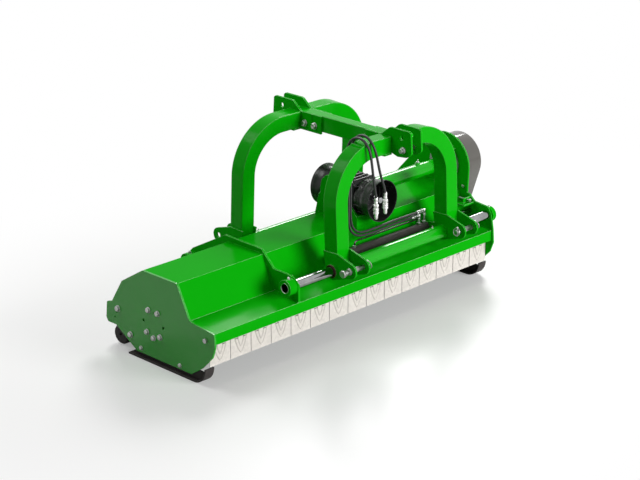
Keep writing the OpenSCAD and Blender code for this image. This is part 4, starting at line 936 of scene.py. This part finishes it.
class MOWER_OT_fittings(bpy.types.Operator):
    """Screw the elbows into the shift cylinder, bend its steel pipe and turn its end glands"""
    bl_idname = "mower.fittings"
    bl_label = "Cylinder fittings"

    def execute(self, context):
        parts = []
        for x, z in ((1.698, 0.455), (1.741, 0.474)):
            foot = at(x, CYLINDER[0], 0.401)
            rise = z - 0.401
            parts.append(turned([(-0.006, 0.0150), (-0.001, 0.0150), (0.0, 0.0125), (0.001, 0.0130),
                                 (0.013, 0.0130), (0.014, 0.0118)], foot, (0, 0, 1), 6))
            parts.append(turned([(0.012, 0.0095), (0.016, 0.0095), (0.017, 0.0078),
                                 (rise - 0.026, 0.0078)], foot, (0, 0, 1), 24))
            parts.append(turned([(rise - 0.027, 0.0108), (rise - 0.026, 0.0120), (rise - 0.014, 0.0120),
                                 (rise - 0.013, 0.0108)], foot, (0, 0, 1), 6))
            parts.append(turned([(rise - 0.014, 0.0090), (rise - 0.010, 0.0098), (rise + 0.006, 0.0100),
                                 (rise + 0.009, 0.0088), (rise + 0.010, 0.0060)], foot, (0, 0, 1), 24))
            parts.append(turned([(0.0, 0.0088), (0.012, 0.0088), (0.013, 0.0078), (0.020, 0.0078)],
                                at(x, CYLINDER[0], z), (-1, 0, 0), 24))
        parts.append(turned([(-0.002, 0.0108), (0.0, 0.0108), (0.001, 0.0100), (0.012, 0.0100),
                             (0.013, 0.0085)], at(1.180, CYLINDER[0], 0.401), (0, 0, 1), 6))
        finished(joined(parts), "elbows", "zinc_steel", "headstock", ["cylinder_fittings"], 30)
        pipe_x, pipe_z, bend = 1.180, 0.436, 0.020
        points = [at(pipe_x, CYLINDER[0], 0.408)]
        for i in range(9):
            a = math.radians(180 - 90 * i / 8)
            points.append(at(pipe_x + bend + bend * math.cos(a), CYLINDER[0],
                             pipe_z - bend + bend * math.sin(a)))
        points += [at(x, CYLINDER[0], pipe_z) for x in (1.260, 1.440, 1.620, 1.694)]
        pipe = tube_mesh("pipe", points, 0.005, 3)
        finished(pipe, "steel_pipe", "pipe_steel", "headstock", angle=50)
        glands = [turned([(-0.001, 0.0240), (0.0, 0.0285), (0.012, 0.0285), (0.0135, 0.0270)],
                         at(1.000, *CYLINDER), (1, 0, 0), 40), turned([(-0.0005, 0.0270), (0.0, 0.0288),
                                                                       (0.022, 0.0288),
                                                                       (0.0235, 0.0278)],
                                                                      at(1.7365, *CYLINDER), (1, 0, 0),
                                                                      40)]
        finished(joined(glands), "cylinder_glands", "grey_paint", "headstock")
        return tell(self, "Fittings screwed in")


def belt_outline(r1, r2, steps=26):
    """Outline round the two pulleys: (y, z) points of a closed belt"""
    c1, c2 = Vector(SHAFT), Vector(ROTOR)
    d = c2 - c1
    a = math.atan2(d.y, d.x)
    b = math.acos((r1 - r2) / d.length)
    points = []
    for centre, r, start, sweep in ((c1, r1, a + b, 2 * math.pi - 2 * b), (c2, r2, a - b, 2 * b)):
        for i in range(steps + 1):
            t = start + sweep * i / steps
            points.append((centre.x + r * math.cos(t), centre.y + r * math.sin(t)))
    return points


def swept_plate(points, x0, x1, bevel):
    """A plate with an outline in YZ, drawn out along X, its far edge rounded"""
    obj = filled_outline([at(x0, y, z) for y, z in points])
    edit(obj)
    bpy.ops.mesh.select_all(action="SELECT")
    bpy.ops.mesh.extrude_region_move(TRANSFORM_OT_translate={"value": (x1 - x0, 0, 0)})
    far = at(x1, 0, 0).x
    choose_edges(obj, lambda a, b: abs(a.x - far) < 1e-5 and abs(b.x - far) < 1e-5)
    bpy.ops.mesh.bevel(offset=bevel, segments=5, affect="EDGES")
    right_way_out(obj)
    return obj


class MOWER_OT_belt_cover(bpy.types.Operator):
    """Press the belt cover with its stiffening bead and hand knobs"""
    bl_idname = "mower.belt_cover"
    bl_label = "Belt cover"

    def execute(self, context):
        cover = swept_plate(belt_outline(0.155, 0.115), DECK, 2.290, 0.014)
        edit(cover)
        near = at(DECK, 0, 0).x
        choose_faces(cover, lambda middle, normal: normal.x < -0.9 and abs(middle.x - near) < 1e-4)
        bpy.ops.mesh.delete(type="FACE")
        settle()
        give_wall(cover, 0.003)
        bead_plate = swept_plate(belt_outline(0.105, 0.070), 2.286, 2.2955, 0.005)
        parts = [cover, bead_plate]
        finished(joined(parts), "belt_hood", "cover_paint", "deck", ["belt_cover"], 35)
        knobs = []
        for y, z in (SHAFT, ROTOR):
            knobs.append(turned([(0, 0.006), (0.002, 0.012), (0.0024, 0.018), (0.008, 0.020),
                                 (0.0095, 0.017)], at(2.2950, y, z), (1, 0, 0), 10))
        finished(joined(knobs), "hood_knobs", "black_plastic", "deck", angle=30)
        return tell(self, "Belt cover pressed")


class MOWER_OT_hammers(bpy.types.Operator):
    """Forge one hammer and hang its copies on both rows"""
    bl_idname = "mower.hammers"
    bl_label = "Hammers"

    def execute(self, context):
        gap = 0.220
        first = (DECK - 17 * gap / 2) / 2
        outline = [(-0.020, 0.004), (0.020, 0.004), (0.020, -0.036), (0.030, -0.052), (0.052, -0.064),
                   (0.052, -0.078), (0.047, -0.085), (-0.047, -0.085), (-0.052, -0.078),
                   (-0.052, -0.064), (-0.030, -0.052), (-0.020, -0.036)]
        hammer = filled_outline([(x, -0.008, z) for x, z in outline])
        edit(hammer)
        bpy.ops.mesh.select_all(action="SELECT")
        bpy.ops.mesh.extrude_region_move(TRANSFORM_OT_translate={"value": (0, 0.016, 0)})
        choose_edges(hammer, lambda a, b: a.z < -0.06 and b.z < -0.06 and abs(a.y - b.y) < 1e-5 and a.y < 0)
        bpy.ops.mesh.bevel(offset=0.006, segments=2, affect="EDGES")
        right_way_out(hammer)
        eye = turned([(-0.020, 0.0150), (-0.018, 0.0170), (0.018, 0.0170), (0.020, 0.0150)], (0, 0, 0),
                     (1, 0, 0), 28)
        hammer = joined([hammer, eye])
        for row, (y, body) in enumerate(((0.134, "hammers_rear_side"), (-0.076, "hammers_front_side"))):
            copies = [copy_to(hammer, at(first + gap * (i + row / 2), y, ROTOR[1])) for i in range(9)]
            name = "hammer_row_%d" % (row + 1)
            finished(joined(copies), name + "_forged", "forged_steel", body, [name], 35)
        bpy.data.objects.remove(hammer)
        return tell(self, "Hammers hung")


class MOWER_OT_pins(bpy.types.Operator):
    """Turn the hitch pins and linch pins, wiper rings, bar mouths and grease nipples"""
    bl_idname = "mower.pins"
    bl_label = "Pins and rings"

    def execute(self, context):
        parts = []
        for start, length, head in ((0.831, 0.199, True), (1.730, 0.170, False)):
            low = at(start, *LOW_PINS)
            parts.append(turned([(0, 0.0120), (0.002, 0.0139), (length - 0.003, 0.0139),
                                 (length, 0.0115)], low, (1, 0, 0), 32))
            if head:
                parts.append(turned([(-0.0005, 0.0180), (0.0015, 0.0200), (0.012, 0.0200),
                                     (0.014, 0.0185)], low, (1, 0, 0), 32))
                parts.append(turned([(0.051, 0.0178), (0.052, 0.0190), (0.0585, 0.0190),
                                     (0.059, 0.0182)], low, (1, 0, 0), 32))
        top = at(1.309, *TOP_PIN)
        parts.append(turned([(0, 0.0110), (0.002, 0.0129), (0.139, 0.0129), (0.142, 0.0105)], top,
                            (1, 0, 0), 32))
        parts.append(turned([(0.016, 0.0178), (0.017, 0.0190), (0.0255, 0.0190), (0.026, 0.0182)], top,
                            (1, 0, 0), 32))
        for spot, lean in ((at(1.018, *LOW_PINS), 1), (at(1.742, *LOW_PINS), -1),
                           (at(1.888, *LOW_PINS), 1), (at(1.439, *TOP_PIN), 1)):
            parts.append(turned([(-0.026, 0.0026), (-0.023, 0.0040), (0.017, 0.0040), (0.0172, 0.0062),
                                 (0.019, 0.0080), (0.028, 0.0080), (0.030, 0.0060)], spot, (0, 0, 1),
                                20))
            settle()
            bpy.ops.mesh.primitive_torus_add(major_radius=0.0215, minor_radius=0.0024, major_segments=40,
                                             minor_segments=8,
                                             location=spot + Vector((0.010 * lean, -0.003, 0.004)),
                                             rotation=(0, math.radians(76 * lean), 0))
            ring = context.object
            bpy.ops.object.transform_apply(location=True, rotation=True, scale=True)
            parts.append(ring)
        finished(joined(parts), "linch_pins", "zinc_steel", "headstock", ["hitch_pins"], angle=40)
        seals = []
        nipples = []
        for y, z in BARS:
            for x, out in ((0.880, -1), (1.880, 1)):
                seals.append(turned([(-0.004, 0.0374), (0.0025, 0.0374), (0.0045, 0.0355),
                                     (0.0050, 0.0300), (0.0, 0.0285)], at(x, y, z), (out, 0, 0), 48))
            for x in (1.080, 1.680):
                nipples.append(turned([(0, 0.0055), (0.004, 0.0055), (0.0045, 0.0035), (0.009, 0.0032),
                                       (0.011, 0.0038), (0.013, 0.0022)], at(x, y, z + 0.037), (0, 0, 1),
                                      12))
        fixed = turned([(-0.001, 0.0085), (0.005, 0.0085), (0.0055, 0.0045), (0.010, 0.0040),
                        (0.013, 0.0046), (0.015, 0.0030)], at(1.905, SHAFT[0], 0.672), (0, 0, 1), 6)
        finished(fixed, "drive_nipple", "zinc_steel", "deck", angle=30)
        finished(joined(seals), "wiper_rings", "bronze", "headstock", angle=40)
        mouths = []
        for y, z in BARS:
            for x, out in ((0.540, -1), (2.180, 1)):
                mouths.append(turned([(-0.002, 0.0277), (0.0008, 0.0277), (0.0014, 0.0271)], at(x, y, z),
                                     (out, 0, 0), 48, 0.0035))
        finished(joined(mouths), "bar_mouths", "zinc_steel", "deck", angle=40)
        finished(joined(nipples), "grease_nipples", "zinc_steel", "headstock")
        return tell(self, "Pins dressed")


class MOWER_OT_finishes(bpy.types.Operator):
    """Make the finishes and give each node of the frame its own"""
    bl_idname = "mower.finishes"
    bl_label = "Finishes"

    def execute(self, context):
        add_finishes()
        for name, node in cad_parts.items():
            node.data.materials.clear()
            node.data.materials.append(bpy.data.materials[FINISH_OF_NODE[name]])
        return tell(self, "Finishes given")


class MOWER_OT_stage(bpy.types.Operator):
    """Lay the pale floor and hang the studio lights"""
    bl_idname = "mower.stage"
    bl_label = "Stage"

    def execute(self, context):
        settle()
        bpy.ops.mesh.primitive_plane_add(size=60, location=(0, 0, -0.001))
        floor = context.object
        floor.name = "floor"
        material = bpy.data.materials.new("floor")
        material.use_nodes = True
        nodes, links = material.node_tree.nodes, material.node_tree.links
        shader = nodes["Principled BSDF"]
        shader.inputs["Roughness"].default_value = 0.30
        path = nodes.new("ShaderNodeLightPath")
        shown = calculation(nodes, "MAXIMUM")
        tone = colour_mix(nodes)
        tone.inputs["A"].default_value = (0.30, 0.30, 0.30, 1)
        tone.inputs["B"].default_value = (0.90, 0.90, 0.89, 1)
        links.new(path.outputs["Is Camera Ray"], shown.inputs[0])
        links.new(path.outputs["Is Glossy Ray"], shown.inputs[1])
        links.new(shown.outputs["Value"], tone.inputs["Factor"])
        links.new(tone.outputs["Result"], shader.inputs["Base Color"])
        coords = nodes.new("ShaderNodeTexCoord")
        away = nodes.new("ShaderNodeVectorMath")
        away.operation = "LENGTH"
        spread = nodes.new("ShaderNodeMapping")
        spread.inputs["Scale"].default_value = (0.62, 1.0, 1.0)
        fade = nodes.new("ShaderNodeMapRange")
        fade.interpolation_type = "SMOOTHSTEP"
        fade.inputs["From Min"].default_value = 0.75
        fade.inputs["From Max"].default_value = 2.4
        fade.inputs["To Min"].default_value = 0.30
        seen = calculation(nodes, "MULTIPLY")
        glow = nodes.new("ShaderNodeEmission")
        glow.inputs["Strength"].default_value = 1.0
        mix = nodes.new("ShaderNodeMixShader")
        links.new(coords.outputs["Object"], spread.inputs["Vector"])
        links.new(spread.outputs["Vector"], away.inputs[0])
        links.new(away.outputs["Value"], fade.inputs["Value"])
        links.new(fade.outputs["Result"], seen.inputs[0])
        links.new(path.outputs["Is Camera Ray"], seen.inputs[1])
        links.new(seen.outputs["Value"], mix.inputs["Fac"])
        links.new(shader.outputs["BSDF"], mix.inputs[1])
        links.new(glow.outputs["Emission"], mix.inputs[2])
        behind = nodes.new("ShaderNodeNewGeometry")
        clear = nodes.new("ShaderNodeBsdfTransparent")
        side = nodes.new("ShaderNodeMixShader")
        links.new(behind.outputs["Backfacing"], side.inputs["Fac"])
        links.new(mix.outputs["Shader"], side.inputs[1])
        links.new(clear.outputs["BSDF"], side.inputs[2])
        links.new(side.outputs["Shader"], nodes["Material Output"].inputs["Surface"])
        floor.data.materials.append(material)
        world = bpy.data.worlds.new("Studio")
        world.use_nodes = True
        context.scene.world = world
        nodes, links = world.node_tree.nodes, world.node_tree.links
        sky = nodes["Background"]
        sky.inputs["Color"].default_value = (1, 1, 1, 1)
        sky.inputs["Strength"].default_value = 0.15
        backdrop = nodes.new("ShaderNodeBackground")
        backdrop.inputs["Color"].default_value = (1, 1, 1, 1)
        backdrop.inputs["Strength"].default_value = 1.0
        path = nodes.new("ShaderNodeLightPath")
        white = calculation(nodes, "MAXIMUM")
        shown = calculation(nodes, "MAXIMUM")
        mix = nodes.new("ShaderNodeMixShader")
        links.new(path.outputs["Is Glossy Ray"], shown.inputs[0])
        links.new(path.outputs["Is Transmission Ray"], shown.inputs[1])
        links.new(path.outputs["Is Camera Ray"], white.inputs[0])
        links.new(shown.outputs["Value"], white.inputs[1])
        links.new(white.outputs["Value"], mix.inputs["Fac"])
        links.new(sky.outputs["Background"], mix.inputs[1])
        links.new(backdrop.outputs["Background"], mix.inputs[2])
        links.new(mix.outputs["Shader"], nodes["World Output"].inputs["Surface"])
        for name, where, aim, size, power in (
                ("key", (2.4, -9.0, 2.8), (0, 0, 0.4), 4.5, 840),
                ("top", (-1.8, 2.6, 4.6), (0, 0, 0.4), 2.4, 90),
                ("rim", (5.8, 4.0, 5.7), (0, 0, 0.4), 3.0, 520)):
            data = bpy.data.lights.new(name, "AREA")
            data.shape = "SQUARE"
            data.size = size
            data.energy = power
            lamp = bpy.data.objects.new(name, data)
            lamp.location = where
            lamp.rotation_euler = (Vector(aim) - Vector(where)).to_track_quat("-Z", "Y").to_euler()
            context.scene.collection.objects.link(lamp)
        context.scene.view_settings.view_transform = "Standard"
        return tell(self, "Stage set")


class MOWER_PT_panel(bpy.types.Panel):
    """The mower's parts, one button each"""
    bl_label = "Flail mower"
    bl_space_type = "VIEW_3D"
    bl_region_type = "UI"
    bl_category = "Mower"

    def draw(self, context):
        column = self.layout.column(align=True)
        for operator in OPERATORS:
            column.operator(operator.bl_idname)
        for group in (context.scene.mower_sizes, context.scene.mower_colours):
            box = self.layout.box()
            for name in group.bl_rna.properties.keys():
                if name not in ("rna_type", "name"):
                    box.prop(group, name)


OPERATORS = (
    MOWER_OT_camera, MOWER_OT_finishes, MOWER_OT_hoses, MOWER_OT_flaps, MOWER_OT_bolts, MOWER_OT_welds,
    MOWER_OT_gearbox, MOWER_OT_input_shaft, MOWER_OT_fittings, MOWER_OT_belt_cover, MOWER_OT_hammers,
    MOWER_OT_pins, MOWER_OT_stage,
)
CLASSES = (MowerSizes, MowerColours) + OPERATORS + (MOWER_PT_panel,)


def register():
    for cls in CLASSES:
        bpy.utils.register_class(cls)
    bpy.types.Scene.mower_sizes = PointerProperty(type=MowerSizes)
    bpy.types.Scene.mower_colours = PointerProperty(type=MowerColours)


def unregister():
    del bpy.types.Scene.mower_colours
    del bpy.types.Scene.mower_sizes
    for cls in reversed(CLASSES):
        bpy.utils.unregister_class(cls)


def main():
    register()
    for operator in OPERATORS:
        group, name = operator.bl_idname.split(".")
        getattr(getattr(bpy.ops, group), name)()


if __name__ == "__main__":
    main()
